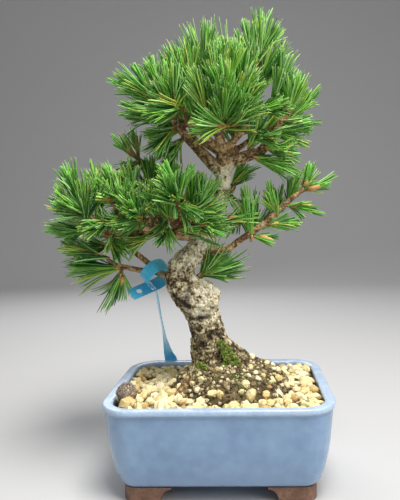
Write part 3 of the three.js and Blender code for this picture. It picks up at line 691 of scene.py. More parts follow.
def moss_look():
    """Moss leaflets: from dark at the root of the cushion to bright yellow-green at the tips."""
    look, tree, shader = new_look("moss", Roughness=0.8)
    place = object_place(tree)
    body = ramp(tree, tint_value(tree), [
        (0.0, (0.03, 0.05, 0.01)), (0.5, (0.16, 0.25, 0.03)), (1.0, (0.46, 0.60, 0.09))])
    dry = speckle(tree, place, 3, 0.5, 0.65)
    body = mix(tree, share_of(tree, dry, 0.5), body, (0.34, 0.30, 0.10))
    feed(tree, shader, Base_Color=body)
    return look


def compost_look():
    """A pressed lump of compost: dark, with brown crumbs and pale specks."""
    look, tree, shader = new_look("compost", Roughness=0.8)
    place = object_place(tree)
    body = mix(tree, speckle(tree, place, 3, 0.4, 0.62), (0.05, 0.032, 0.022), (0.27, 0.19, 0.125))
    body = mix(tree, speckle(tree, place, 1.3, 0.54, 0.62), body, (0.66, 0.58, 0.46))
    grain = fine_noise(tree, place, 600.0, 4.0)
    feed(tree, shader, Base_Color=body, Normal=bump(tree, grain, 0.8, 1.0))
    return look


def bark_look(settings):
    """Pine bark: a mottle of dark pits, brown flakes and cream plates. The attribute pale moves the mottle
    from dark to cream, and it carries painted light and painted shade as well. Young turns it to scaly
    brown, and tint darkens the cracks and creases with painted shade."""
    look, tree, shader = new_look("bark", Roughness=0.92)
    place = object_place(tree)
    fine = fine_noise(tree, place, 520.0, 3.0)
    fine.node.inputs["Roughness"].default_value = 0.6
    broad = fine_noise(tree, place, 170.0, 2.0)
    flakes = cells(tree, place, 430.0)["Distance"]
    mottle = tint_value(tree, "pale")
    for pattern, weight, lowered in ((fine, 1.9, -0.95), (broad, 2.1, -1.05), (flakes, 0.45, -0.2)):
        mottle = math_node(tree, "MULTIPLY_ADD", pattern, weight, math_node(tree, "ADD", mottle, lowered))
    body = ramp(tree, mottle, [
        (0.0, settings.bark_dark), (0.24, (0.12, 0.08, 0.035)), (0.46, (0.36, 0.285, 0.15)),
        (0.68, (0.66, 0.58, 0.37)), (0.95, settings.bark_pale)])
    low_down = spread(tree, height_of(tree, place), (STONE_TOP + 58) * MM, (STONE_TOP + 30) * MM)
    green = math_node(tree, "MULTIPLY", speckle(tree, place, 6, 0.48, 0.6), low_down)
    body = mix(tree, share_of(tree, green, 0.5), body, (0.17, 0.19, 0.05))
    rust = share_of(tree, speckle(tree, place, 8, 0.56, 0.66), 0.45)
    body = mix(tree, rust, body, (0.36, 0.20, 0.09))
    scaly = mix(tree, spread(tree, mottle, 0.15, 0.75), (0.13, 0.07, 0.03), (0.50, 0.30, 0.13))
    body = mix(tree, tint_value(tree, "young"), body, scaly)
    # Painted shade: the cracks and creases are darkened by the tint attribute.
    body = mix(tree, tint_value(tree), body, (0.022, 0.013, 0.009))
    rough = math_node(tree, "MULTIPLY_ADD", flakes, 0.9, share_of(tree, fine, 1.1))
    feed(tree, shader, Base_Color=body, Normal=bump(tree, rough, 1.3, 1.0))
    return look


VARIANTS = 64  # sorts of needle
YOUNG_VARIANTS = 12  # the last of them, which are fresh


def needle_look(settings):
    """Pine needles. Across the pattern are 64 sorts of needle with three sides each, one of them
    with the pale lines of the needle's inner side; up it runs each needle's length."""
    look, tree, shader = new_look("needles", Roughness=0.5, Specular_IOR_Level=0.3)
    pattern = put(tree, "ShaderNodeUVMap", uv_map="OFBake").outputs[0]
    parts = put(tree, "ShaderNodeSeparateXYZ", {0: pattern}).outputs
    sort = math_node(tree, "MULTIPLY", parts[0], float(VARIANTS))
    number = math_node(tree, "FLOOR", sort)
    within = math_node(tree, "FRACT", sort)
    side = math_node(tree, "FLOOR", math_node(tree, "MULTIPLY", within, 3.0))
    chance = put(tree, "ShaderNodeTexWhiteNoise", {"W": number}, noise_dimensions="1D").outputs["Value"]
    body = ramp(tree, chance, [
        (0.0, settings.needle_dark), (0.32, (0.05, 0.22, 0.028)), (0.6, settings.needle_colour),
        (0.83, (0.26, 0.54, 0.07)), (0.94, (0.48, 0.56, 0.08)), (1.0, (0.70, 0.54, 0.11))])
    young = math_node(tree, "GREATER_THAN", number, VARIANTS - YOUNG_VARIANTS - 0.5)
    fresh = mix(tree, chance, settings.needle_young, (0.26, 0.62, 0.10))
    body = mix(tree, young, body, fresh)
    inner = math_node(tree, "GREATER_THAN", side, 1.5)
    second_chance = math_node(tree, "FRACT", math_node(tree, "MULTIPLY", chance, 7.3))
    silver = math_node(tree, "GREATER_THAN", second_chance, 0.6)
    lines = math_node(tree, "MULTIPLY", inner, math_node(tree, "MULTIPLY_ADD", silver, 0.5, 0.26))
    body = mix(tree, lines, body, settings.needle_lines)
    middle_side = math_node(tree, "COMPARE", side, 1.0, 0.5)
    body = mix(tree, share_of(tree, middle_side, 0.3), body, (0.34, 0.60, 0.12))
    base = spread(tree, parts[1], 0.16, 0.0)
    body = mix(tree, share_of(tree, base, 0.6), body, (0.36, 0.42, 0.10))
    tip = spread(tree, parts[1], 0.93, 1.0)
    body = mix(tree, share_of(tree, tip, 0.6), body, (0.52, 0.50, 0.22))
    feed(tree, shader, Base_Color=body)
    return look


def bud_look():
    """Bud scales and needle sheaths: orange-brown, papery and paler at the edges."""
    look, tree, shader = new_look("bud_scales", Roughness=0.7)
    place = object_place(tree)
    body = ramp(tree, tint_value(tree), [
        (0.0, (0.12, 0.06, 0.03)), (0.3, (0.44, 0.22, 0.07)), (0.65, (0.68, 0.37, 0.115)),
        (1.0, (0.82, 0.58, 0.29))])
    flecks = speckle(tree, place, 1.2, 0.5, 0.64)
    body = mix(tree, share_of(tree, flecks, 0.55), body, (0.22, 0.10, 0.045))
    feed(tree, shader, Base_Color=body)
    return look


def label_look(settings):
    """Glossy blue strap plastic in faint clouds, with fine scuffs."""
    look, tree, shader = new_look("label_plastic", Roughness=0.3, Coat_Weight=0.3, Coat_Roughness=0.15)
    place = object_place(tree)
    clouds = speckle(tree, place, 10, 0.35, 0.7)
    body = mix(tree, clouds, settings.label_deep, settings.label_colour)
    scuffs = fine_noise(tree, place, 500.0, 2.0)
    feed(tree, shader, Base_Color=body, Roughness=spread(tree, scuffs, 0.3, 0.7, 0.24, 0.42),
         Normal=bump(tree, scuffs, 0.08, 0.5))
    return look


# ---------------------------------------------------------------- settings


def colour(name, description, default):
    """A colour setting."""
    return FloatVectorProperty(name=name, description=description, default=default, size=3, min=0, max=1,
                               subtype="COLOR")


def length(name, description, default_mm, low_mm, high_mm):
    """A length setting. Like every length in a scene it is kept in metres."""
    return FloatProperty(name=name, description=description, default=default_mm * MM, min=low_mm * MM,
                         max=high_mm * MM, precision=5, subtype="DISTANCE", unit="LENGTH")


class BONSAI_PG_settings(PropertyGroup):
    """Sizes and colours that can be changed before a piece is built."""

    glaze_colour: colour("Glaze", "Main colour of the glaze", (0.243, 0.385, 0.58))
    glaze_deep: colour("Deep Glaze", "Glaze where it lies thick", (0.186, 0.302, 0.483))
    # The rim edge's paler glaze, which also serves as its painted highlight.
    glaze_pale_and_highlight: colour("Pale Glaze", "Glaze on the rim's edge", (0.49, 0.61, 0.78))
    stone_layers: IntProperty(name="Stone Layers", description="Layers of loose pumice", default=2, min=1,
                              max=3)
    stone_size: length("Stone Size", "Width of a middling grain", 7.8, 2, 12)
    bark_pale: colour("Pale Bark", "Bark plates", (0.92, 0.87, 0.66))
    bark_dark: colour("Dark Bark", "Weathered bark", (0.022, 0.015, 0.009))
    bark_grid: length("Bark Grid", "Step of the grid that the wood is fused on", 0.78, 0.4, 3)
    bark_relief: length("Bark Relief", "Depth of the bark's furrows", 1.5, 0, 4)
    fullness: FloatProperty(name="Fullness", description="Needle bundles, as a multiple of the listed ones",
                            default=1.25, min=0.1, max=4.0, subtype="FACTOR")
    needle_width: length("Needle Width", "Width of a needle", 1.4, 0.3, 3)
    needle_colour: colour("Needles", "Main colour of the needles", (0.13, 0.44, 0.038))
    needle_dark: colour("Dark Needles", "Older needles", (0.018, 0.09, 0.015))
    needle_young: colour("Young Needles", "Fresh bundles", (0.15, 0.58, 0.07))
    needle_lines: colour("Needle Lines", "Pale lines of the inner side", (0.44, 0.76, 0.28))
    label_colour: colour("Label", "Strap plastic", (0.12, 0.68, 1.0))
    label_deep: colour("Deep Label", "Strap plastic in its darker clouds", (0.08, 0.58, 0.98))
    lamp_power: FloatProperty(name="Lamp Power", description="Strength of the main lamp", default=16.5,
                              min=0.0, max=200.0, subtype="POWER", unit="POWER")


def settings_of(context):
    """The settings that the panel shows."""
    return context.scene.bonsai


# ---------------------------------------------------------------- pot

# The wall's section, from the middle of its outer foot over the rim to the inner floor: how far in
# from the rim's outermost edge, and the height above the pot's underside.
WALL_PROFILE = [
    (18.5, 0.0), (15.0, 0.5), (12.0, 3.9), (9.0, 10.4), (6.6, 19.5), (4.2, 32.5), (2.6, 48.1),
    (1.75, 56.5), (1.6, 59.4), (1.1, 60.2), (0.35, 60.7), (0.0, 61.6), (0.0, 63.0), (0.3, 64.2),
    (1.0, 64.9), (2.2, 65.0), (5.8, 64.9), (7.0, 64.6), (7.8, 63.9), (8.1, 62.6), (8.1, 54.0),
    (10.0, 40.0), (13.0, 20.0), (20.5, 7.0),
]


def plan_line(per_corner, per_side):
    """The pot's outline seen from above, as an anchor and an outward way for each point: round
    a corner the anchor stays and the way turns, along a side the anchor slides. It starts at the
    middle of the back and goes round to the right."""
    half = np.array([POT_LENGTH / 2 - POT_CORNER, POT_DEPTH / 2 - POT_CORNER])
    anchors, ways = [], []
    turns = np.linspace(0, math.pi / 2, per_corner + 1)
    signs = [(1, 1), (1, -1), (-1, -1), (-1, 1)]
    for corner, sign in enumerate(signs):
        centre = half * sign
        before = half * signs[corner - 1]
        way = np.array([math.sin(corner * math.pi / 2), math.cos(corner * math.pi / 2)])
        slide = np.linspace(0, 1, per_side + 2)[1:-1, None]
        anchors.append(before + (centre - before) * slide)
        ways.append(np.broadcast_to(way, (per_side, 2)))
        angle = corner * math.pi / 2 + turns
        anchors.append(np.broadcast_to(centre, (per_corner + 1, 2)))
        ways.append(np.stack([np.sin(angle), np.cos(angle)], 1))
    anchors, ways = np.vstack(anchors), np.vstack(ways)
    start = per_side // 2
    return np.roll(anchors, -start, 0), np.roll(ways, -start, 0)


FLOOR_RINGS = 7  # from a drain hole's edge to its half of the floor's outline
SEAM_POINTS = 7  # on the line where the halves meet, without its ends


def floor_sheet(outline, z, facing_up):
    """A flat floor with two round holes, and the rim of each hole. Each half is a fan of lines from
    its hole's edge to the half's own outline: point = (1 - t) circle + t outline. The halves meet
    on the line x = 0."""
    count = len(outline)
    halves = []
    for sign in (1, -1):
        side = outline[: count // 2 + 1] if sign == 1 else np.vstack([outline[count // 2:], outline[:1]])
        across = np.linspace(side[-1], side[0], SEAM_POINTS + 2)[1:-1]
        edge = np.vstack([side, across])
        middle = np.array([sign * DRAIN_SPACING / 2, 0.0])
        circle = middle + DRAIN_RADIUS * unit(edge - middle)
        share = (np.linspace(0, 1, FLOOR_RINGS) ** 1.3)[:, None, None]
        points = (1 - share) * circle[None] + share * edge[None]
        flat = np.concatenate([points, np.full(points.shape[:2] + (1,), z)], -1).reshape(-1, 3)
        faces = grid_faces(FLOOR_RINGS, len(edge), True)
        halves.append((flat, faces if facing_up else faces[:, ::-1]))
    return joined(halves), [points[: len(points) // FLOOR_RINGS] for points, _ in halves]


def pot_shape():
    """The pot as one closed skin: rings of the outline at each step of the wall's profile, two
    floors with drain holes, and the holes' walls."""
    anchors, ways = plan_line(14, 15)
    profile = smooth_line(np.array(WALL_PROFILE), 150)
    rings = anchors[None] + (POT_CORNER - profile[:, :1, None]) * ways[None]
    height = np.broadcast_to((POT_BOTTOM + profile[:, 1])[:, None, None], rings.shape[:2] + (1,))
    wall = np.concatenate([rings, height], -1).reshape(-1, 3)
    wall_faces = grid_faces(len(profile), len(anchors), True)
    low, low_rims = floor_sheet(rings[0], POT_BOTTOM, False)
    high, high_rims = floor_sheet(rings[-1], POT_BOTTOM + FLOOR_THICKNESS, True)
    shapes = [(wall, wall_faces), low, high]
    for under, over in zip(low_rims, high_rims):
        shapes.append((np.vstack([under, over]), grid_faces(2, len(under), True)))
    return joined(shapes)


class BONSAI_OT_pot(Operator):
    """Turns the glazed pot and finishes its bare clay feet"""

    bl_idname = "bonsai.pot"
    bl_label = "Pot"

    def execute(self, context):
        points, faces = pot_shape()
        mesh = new_mesh("pot", points, faces)
        weld(mesh, 0.01)
        add_piece("pot", mesh, glaze_look(settings_of(context)), ["pot_body"])
        clay = clay_look()
        for corner in ("front_left", "front_right", "back_left", "back_right"):
            dress(f"pot_foot_{corner}", clay)
        return {"FINISHED"}


def weld(mesh, distance_mm):
    """Joins points closer than that and turns every face to point out."""
    work = bmesh.new()
    work.from_mesh(mesh)
    bmesh.ops.remove_doubles(work, verts=work.verts, dist=distance_mm * MM)
    bmesh.ops.recalc_face_normals(work, faces=work.faces)
    work.to_mesh(mesh)
    work.free()


def dress(node, look):
    """Gives a node of the part that stays shown a better material."""
    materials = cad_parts[node].data.materials
    materials.clear()
    materials.append(look)


class BONSAI_OT_inside(Operator):
    """Finishes the drain screens, their wires and the potting soil"""

    bl_idname = "bonsai.inside"
    bl_label = "Screens, Wires and Soil"

    def execute(self, context):
        plastic, wire = screen_look(), wire_look()
        for side in ("left", "right"):
            dress(f"drain_screen_{side}", plastic)
            dress(f"screen_wire_{side}", wire)
        dress("potting_soil", soil_look())
        return {"FINISHED"}


# ---------------------------------------------------------------- stones, mound and moss

def grains(centres, widths, chance):
    """Angular grains: a ball, cut flat by seven planes at random distances, stretched, turned
    and carried to its centre. Point = centre + width / 2 * turn * stretch * cut(ball). The last
    value is how many points a grain has."""
    ball, faces = ball_shape(3, 7, 0.5)
    count = len(centres)
    points = np.broadcast_to(ball, (count, len(ball), 3)).copy()
    for _ in range(7):
        way = unit(chance.normal(size=(count, 3)))
        depth = chance.uniform(0.5, 0.9, (count, 1))
        beyond = np.maximum(np.einsum("npk,nk->np", points, way) - depth, 0)
        points -= beyond[..., None] * way[:, None]
    points *= chance.uniform(0.82, 1.3, (count, 1, 3)) * np.array([1.08, 1.08, 0.9])
    first = unit(chance.normal(size=(count, 3)))
    second, third = side_vectors(first)
    turn = np.stack([first, second, third], 1)
    points = np.einsum("npk,nkj->npj", points, turn) * (widths / 2)[:, None, None] + centres[:, None]
    return points.reshape(-1, 3), repeat_shape(faces, len(ball), count), len(ball)


def mound_height(x, y):
    """Height of the mound over the ground: half an egg, z = base + rise sqrt(1 - (x/a)^2 - (y/b)^2),
    and along the thick root a ridge of 12 (1 - x/50)^1.5 exp(-(y/8)^2)."""
    inside = 1 - ((x - MOUND_MIDDLE_X) / MOUND_HALF[0]) ** 2 - (y / MOUND_HALF[1]) ** 2
    ridge = 12 * np.clip(1 - x / 50, 0, 1) ** 1.5 * np.clip((x + 14) / 14, 0, 1) * np.exp(-((y / 8) ** 2))
    egg = SOIL_TOP + (STONE_TOP + MOUND_RISE - SOIL_TOP) * np.sqrt(np.maximum(inside, 0))
    return egg + ridge * (inside > 0)


def inside_rim(x, y, inset):
    """Whether a point is inside the pot's rounded rectangle, drawn in by an inset."""
    half = np.array([POT_LENGTH / 2 - POT_CORNER, POT_DEPTH / 2 - POT_CORNER])
    away = np.stack([np.maximum(np.abs(x) - half[0], 0), np.maximum(np.abs(y) - half[1], 0)])
    return np.hypot(*away) < POT_CORNER - inset


def ground_height(x, y):
    """The mound, and round it the bed that the stones lie on."""
    return np.maximum(mound_height(x, y), STONE_TOP - 5.5)


def scattered(spacing, chance, drift):
    """Points of a honeycomb over the pot, each moved a little at random."""
    rows = np.arange(-POT_DEPTH / 2, POT_DEPTH / 2, spacing * 0.866)
    columns = np.arange(-POT_LENGTH / 2, POT_LENGTH / 2, spacing)
    y, x = np.meshgrid(rows, columns, indexing="ij")
    x = x + (np.arange(len(rows)) % 2)[:, None] * spacing / 2
    x, y = x.ravel(), y.ravel()
    return x + chance.normal(0, drift, x.shape), y + chance.normal(0, drift, y.shape)


SHEET_RINGS = 26


def soil_sheet(inset, low):
    """The sheet of soil under the stones and over the mound: rings drawn in from the rim to the
    middle, at the ground's height with a little noise, closed below by the same rings at z = low."""
    anchors, ways = plan_line(6, 7)
    edge = anchors + (POT_CORNER - inset) * ways
    share = np.linspace(1, 0.02, SHEET_RINGS)[:, None, None]
    flat = (edge[None] * share).reshape(-1, 2)
    z = ground_height(flat[:, 0], flat[:, 1])
    top = np.column_stack([flat, z + 0.5 * noise(np.column_stack([flat, z]), 3.5, 4)])
    count = len(edge)
    below = np.column_stack([flat, np.full(len(flat), low)])
    faces = grid_faces(SHEET_RINGS, count, True)
    wall = np.stack([np.arange(count), (np.arange(count) + 1) % count], 1)
    skirt = np.column_stack([wall[:, 0], wall[:, 1], wall[:, 1] + len(top), wall[:, 0] + len(top)])
    inner = wall + (SHEET_RINGS - 1) * count
    hole = np.column_stack([inner[:, 1], inner[:, 0], inner[:, 0] + len(top), inner[:, 1] + len(top)])
    whole = np.vstack([faces, faces[:, ::-1] + len(top), skirt[:, ::-1], hole[:, ::-1]])
    points = np.vstack([top, below])
    return points, facing_out(points, whole)


LAYER_DROP = 3.4  # from one layer of stones to the next


class BONSAI_OT_stones(Operator):
    """Lays the loose pumice stones round the mound"""

    bl_idname = "bonsai.stones"
    bl_label = "Pumice Stones"

    def execute(self, context):
        settings = settings_of(context)
        chance = np.random.default_rng(11)
        size = settings.stone_size / MM
        places, widths = [], []
        for layer in range(settings.stone_layers):
            x, y = scattered(size * 0.98, chance, 0.9)
            width = size * np.exp(chance.normal(0, 0.22, x.shape))
            rise = mound_height(x, y)
            over_mound = np.clip((rise - STONE_TOP - 1) / 14, 0, 1)
            bare_share = 0.4 + 0.5 * over_mound - 0.16 * (y < -16)
            strewn = (layer == 0) & (chance.uniform(size=x.shape) > bare_share)
            keep = inside_rim(x, y, RIM_WIDTH + 2.6) & ((rise < STONE_TOP + 1.0) | strewn)
            z = STONE_TOP - 1.9 - LAYER_DROP * layer + chance.normal(0, 0.7, x.shape)
            leaning = z + np.clip(rise - STONE_TOP + 5, 0, 5) * 0.5
            z = np.where(rise > STONE_TOP + 1, rise + 0.6, leaning)
            width = width * (1 - 0.3 * over_mound)
            places.append(np.column_stack([x, y, z])[keep])
            widths.append(width[keep])
        centres, widths = np.vstack(places), np.concatenate(widths)
        points, faces, corners = grains(centres, widths, chance)
        tint = np.clip(chance.beta(2.6, 1.7, len(centres)), 0, 1)
        mesh = new_mesh("pumice_stones", points, faces)
        set_tint(mesh, np.repeat(tint, corners))
        add_piece("pumice_stones", mesh, pumice_look(), ["gravel_top_dressing"], smooth=False)
        return {"FINISHED"}


# Cushions of moss: balls half sunk in the mound and the wood, x, y, height above the stones, radius.
MOSS_PATCHES = {
    "moss_at_trunk": [(0, -11, 39, 2.2), (3, -11, 36, 2.8), (7, -11, 33, 2.6), (4, -13, 30, 2.8),
                      (9, -12, 28, 3.2), (13, -12, 25, 2.4), (6, -15, 25, 2.6), (11, -15, 21, 2.4),
                      (16, -12, 21, 1.8), (3, -16, 21, 1.9)],
    "moss_front": [(-17, -15, 21, 2.8), (-13, -17, 20, 2.4), (-19, -17, 16, 2.2), (-14, -19, 15, 1.8)],
    "moss_right": [(13, -28, 14, 2.8), (15, -29, 13.4, 2.4), (10, -27, 15, 2.0), (41, -22, 10, 2.4)],
}


GRIT_COUNT = 3000


class BONSAI_OT_mound(Operator):
    """Heaps the root mound out of fines and grit"""

    bl_idname = "bonsai.mound"
    bl_label = "Root Mound"

    def execute(self, context):
        chance = np.random.default_rng(23)
        bed, bed_faces = soil_sheet(RIM_WIDTH + 0.6, SOIL_TOP + 0.3)
        turn = chance.uniform(0, 2 * math.pi, GRIT_COUNT)
        reach = np.sqrt(chance.uniform(0, 1, GRIT_COUNT))
        x = MOUND_MIDDLE_X + MOUND_HALF[0] * reach * np.cos(turn)
        y = MOUND_HALF[1] * reach * np.sin(turn)
        z = mound_height(x, y)
        width = np.clip(np.exp(chance.normal(0.66, 0.40, x.shape)), 0.9, 5.5)
        keep = z > STONE_TOP - 2
        centres = np.column_stack([x, y, z + width * 0.12])[keep]
        points, faces, corners = grains(centres, width[keep], chance)
        tint = np.clip(chance.beta(1.2, 2.3, len(centres)) + 0.2 * (width[keep] > 3.0), 0, 1)
        mesh = new_mesh("mound_and_grit", *joined([(bed, cut_in_two(bed_faces)), (points, faces)]))
        bed_tint = 0.25 + 0.25 * noise(bed, 3, 8)
        set_tint(mesh, np.concatenate([bed_tint, np.repeat(tint, corners)]))
        add_piece("mound_and_grit", mesh, grit_look(), ["root_mound"], smooth=False)
        return {"FINISHED"}


def leaflets(centres, ways, lengths, width, chance):
    """Small leaves: three-sided spikes, each from a ring of three points to a tip."""
    count = len(centres)
    first, second = side_vectors(ways)
    turn = chance.uniform(0, 2 * math.pi, (count, 1)) + np.arange(3) * 2 * math.pi / 3
    ring = ring_ways(first, second, turn) * width / 2
    tip = centres + ways * lengths[:, None]
    points = np.concatenate([centres[:, None] + ring, tip[:, None]], 1)
    faces = np.array([[0, 1, 3], [1, 2, 3], [2, 0, 3], [2, 1, 0]])
    faces = facing_out(points[0], faces)
    return points.reshape(-1, 3), repeat_shape(faces, 4, count)


class BONSAI_OT_moss(Operator):
    """Plants the moss cushions on the mound"""

    bl_idname = "bonsai.moss"
    bl_label = "Moss"

    def execute(self, context):
        look = moss_look()
        for seed, (node, balls) in enumerate(MOSS_PATCHES.items()):
            chance = np.random.default_rng(40 + seed)
            balls = np.array(balls, float)
            counts = (16 * balls[:, 3] ** 1.5).astype(int)
            count = counts.sum()
            ball = np.repeat(balls, counts, 0)
            ways = unit(chance.normal(size=(count, 3)) + [0, -0.4, 0.7])
            grown = ball[:, 3:] * chance.uniform(0.45, 1.0, (count, 1))
            centres = ball[:, :3] + [0, 0, STONE_TOP] + ways * grown
            sprigs = unit(ways + chance.normal(0, 0.45, (count, 3)))
            points, faces = leaflets(centres, sprigs, chance.uniform(1.3, 2.6, count), 1.15, chance)
            mesh = new_mesh(node + "_leaflets", points, faces)
            tint = np.tile([0.42, 0.42, 0.42, 1.0], count) * np.repeat(chance.uniform(0.35, 1.2, count), 4)
            set_tint(mesh, np.clip(tint, 0, 1))
            add_piece(node + "_leaflets", mesh, look, [node], smooth=False)
        return {"FINISHED"}


class BONSAI_OT_compost(Operator):
    """Shapes the lump of compost in the front left corner"""

    bl_idname = "bonsai.compost"
    bl_label = "Compost Lump"

    def execute(self, context):
        low, high = box_mm("fertiliser_cake")
        middle, half = (low + high) / 2 - CENTRE, (high - low) / 2
        ball, faces = ball_shape(24, 48, 0)
        bumps = 0.12 * noise(ball, 0.6, 2) + 0.09 * noise(ball, 0.28, 3) + 0.05 * noise(ball, 0.13, 5)
        mesh = new_mesh("compost_lump", middle + ball * (1 + bumps)[:, None] * half * 1.02, faces)
        weld(mesh, 0.001)
        add_piece("compost_lump", mesh, compost_look(), ["fertiliser_cake"])
        return {"FINISHED"}


# ---------------------------------------------------------------- wood

# Creases in the bark: their line (x, y, height above the stones), half width and depth.
CREASES = [
    ([(-37, -14, 79), (-32, -15, 75), (-26, -17, 70)], 2.8, 3.0),
    ([(-28, -6, 63), (-24, -11, 61), (-17, -15, 60), (-8, -15, 61.5)], 2.4, 2.2),
    ([(-20, -18, 91), (-24, -19, 85), (-26, -18, 78), (-26, -17, 71)], 2.2, 1.8),
    ([(-40, -12, 88), (-35, -16, 91), (-29, -17, 93)], 1.8, 1.6),
    ([(-20, -11, 46), (-15, -14, 38), (-17, -13, 30)], 2.0, 1.6),
    ([(-2, -10, 48), (2, -8, 40), (0, -12, 31)], 2.0, 1.4),
]


def over_stones(line):
    """A limb's knots with their heights over the ground in place of over the stones."""
    return [(x, y, z + STONE_TOP, radius) for x, y, z, radius in line]


def wood_lines():
    """Every limb with its rings and sides: the trunk, the roots and the branches."""
    lines = [(TRUNK_LINE, 120, 40)]
    lines += [(line, 12 * len(line), 20) for line in ROOT_LINES]
    lines += [(line, 12 * len(line), 16) for line in BRANCH_LINES]
    return lines


def fused(points, faces, grid):
    """Overlapping closed shapes made one skin, on a grid with that step in metres."""
    mesh = new_mesh("wood_parts", points, faces)
    rough = bpy.data.objects.new("wood_parts", mesh)
    bpy.context.scene.collection.objects.link(rough)
    remesh = rough.modifiers.new("fuse", "REMESH")
    remesh.mode = "VOXEL"
    remesh.voxel_size = grid
    remesh.use_smooth_shade = True
    graph = bpy.context.evaluated_depsgraph_get()
    skin = bpy.data.meshes.new_from_object(rough.evaluated_get(graph))
    bpy.data.objects.remove(rough)
    bpy.data.meshes.remove(mesh)
    return skin


def read_points(mesh, what="co"):
    """The mesh's points or normals as an array; points come back in millimetres round the pot."""
    values = np.empty(len(mesh.vertices) * 3, np.float32)
    mesh.vertices.foreach_get(what, values)
    values = values.reshape(-1, 3).astype(float)
    return values / MM - CENTRE if what == "co" else values


POINTS_AT_ONCE = 4000


def limb_radius(points, samples):
    """For each point, the radius of the nearest stretch of limb."""
    nearest = np.empty(len(points))
    for start in range(0, len(points), POINTS_AT_ONCE):
        part = slice(start, start + POINTS_AT_ONCE)
        away = np.linalg.norm(points[part, None] - samples[None, :, :3], axis=2) - samples[None, :, 3]
        nearest[part] = samples[np.argmin(away, axis=1), 3]
    return nearest


def crack_share(points, radius):
    """How far a point lies in a crack, 0 to 1: thin lines where a broad and a fine noise pass
    through zero, on thick wood only."""
    broad = np.clip(1 - 3.4 * np.abs(noise(points * [1, 1, 0.7], 5.2, 1)), 0, 1)
    fine = np.clip(1 - 2.8 * np.abs(noise(points, 2.6, 2)), 0, 1)
    return np.clip((radius - 4) / 6, 0, 1) * (0.55 * broad + 0.45 * fine)


def burl_share(above):
    """How much a point belongs to the burl: 1 in its middle, falling to 0 outside it."""
    away = np.linalg.norm((above - BURL_CENTRE) / (17, 19, 20), axis=1)
    return np.clip(1.35 - away, 0, 1)


def crease_depth(above):
    """The deepest of the creases at a point: depth exp(-(distance / half width)^2)."""
    deepest = np.zeros(len(above))
    for line, half_width, depth in CREASES:
        away = np.min(np.linalg.norm(above[:, None] - smooth_line(line, 16)[None], axis=2), axis=1)
        deepest = np.maximum(deepest, depth * np.exp(-((away / half_width) ** 2)))
    return deepest


def pale_with_painted_light(above, thin, knobs):
    """How pale the bark is: the bark's own mottle, with painted light on the burl and on the upper trunk,
    and painted shade near the ground and on the far left of the lower trunk.
    """
    side, height = above[:, 0], above[:, 2]
    upper = 0.27 * np.clip((height - 92) / 14, 0, 1) + 0.1 * np.clip((height - 125) / 20, 0, 1)
    lit = 0.29 * np.clip(knobs * 2, 0, 1) + (1 - thin) * upper
    shaded = 0.10 * np.clip((64 - height) / 12, 0, 1) + 0.02 * (side < -28) * (height < 100)
    return 0.44 + lit - shaded


# A ball, as a tube through these knots.
BALL_LINE = [(0, 0, -1, 0.02), (0, 0, -0.6, 0.8), (0, 0, 0, 1), (0, 0, 0.6, 0.8), (0, 0, 1, 0.02)]


class BONSAI_OT_wood(Operator):
    """Grows the trunk, roots and branches as one skin and furrows its bark"""

    bl_idname = "bonsai.wood"
    bl_label = "Trunk and Branches"

    def execute(self, context):
        settings = settings_of(context)
        shapes = [tube(over_stones(line), rings, sides) for line, rings, sides in wood_lines()]
        ball, ball_faces = tube(BALL_LINE, 40, 40)
        burl = ball * BURL_RADII + np.array(BURL_CENTRE) + [0, 0, STONE_TOP]
        shapes.append((burl, ball_faces))
        skin = fused(*joined(shapes), settings.bark_grid)
        points, normals = read_points(skin), read_points(skin, "normal")
        samples = np.vstack([smooth_line(over_stones(line), 5 * len(line)) for line, _, _ in wood_lines()])
        radius = limb_radius(points, samples)
        above = points - [0, 0, STONE_TOP]
        thick = np.clip((radius - 2) / 10, 0.12, 1)
        knobs = burl_share(above)
        crease = crease_depth(above)
        cracked = crack_share(points, radius)
        plates = noise(points, 7, 3) + 0.6 * noise(points, 3.1, 4) + 0.45 * noise(points, 1.6, 5)
        lumps = knobs * (noise(points, 8, 6) + noise(points, 4, 7))
        push = settings.bark_relief / MM * thick * (0.62 * plates - 1.05 * cracked) + lumps - crease
        points = points + normals * push[:, None]
        skin.vertices.foreach_set("co", ((points + CENTRE) * MM).ravel().astype(np.float32))
        skin.update()
        # The tint darkens the cracks and creases as painted shade.
        set_tint(skin, np.clip(0.8 * cracked ** 1.6 * (1 - 0.35 * knobs) + 0.42 * crease, 0, 0.95))
        thin = np.clip((6.2 - radius) / 1.2, 0, 1)
        # pale carries the bark's paleness together with painted light and painted shade.
        set_tint(skin, pale_with_painted_light(above, thin, knobs), "pale")
        set_tint(skin, 0.85 * thin, "young")
        skin.materials.clear()
        add_piece("wood", skin, bark_look(settings), ["trunk_and_branches"])
        return {"FINISHED"}


# ---------------------------------------------------------------- needles

IN_BUNDLE = 5
# Rings of a needle: their places along it, and their widths as shares of its own.
ROW_PLACES = np.array([0.0, 0.2, 0.45, 0.7, 0.9, 0.98])
ROW_WIDTHS = np.array([0.7, 1.0, 1.0, 0.92, 0.72, 0.42])


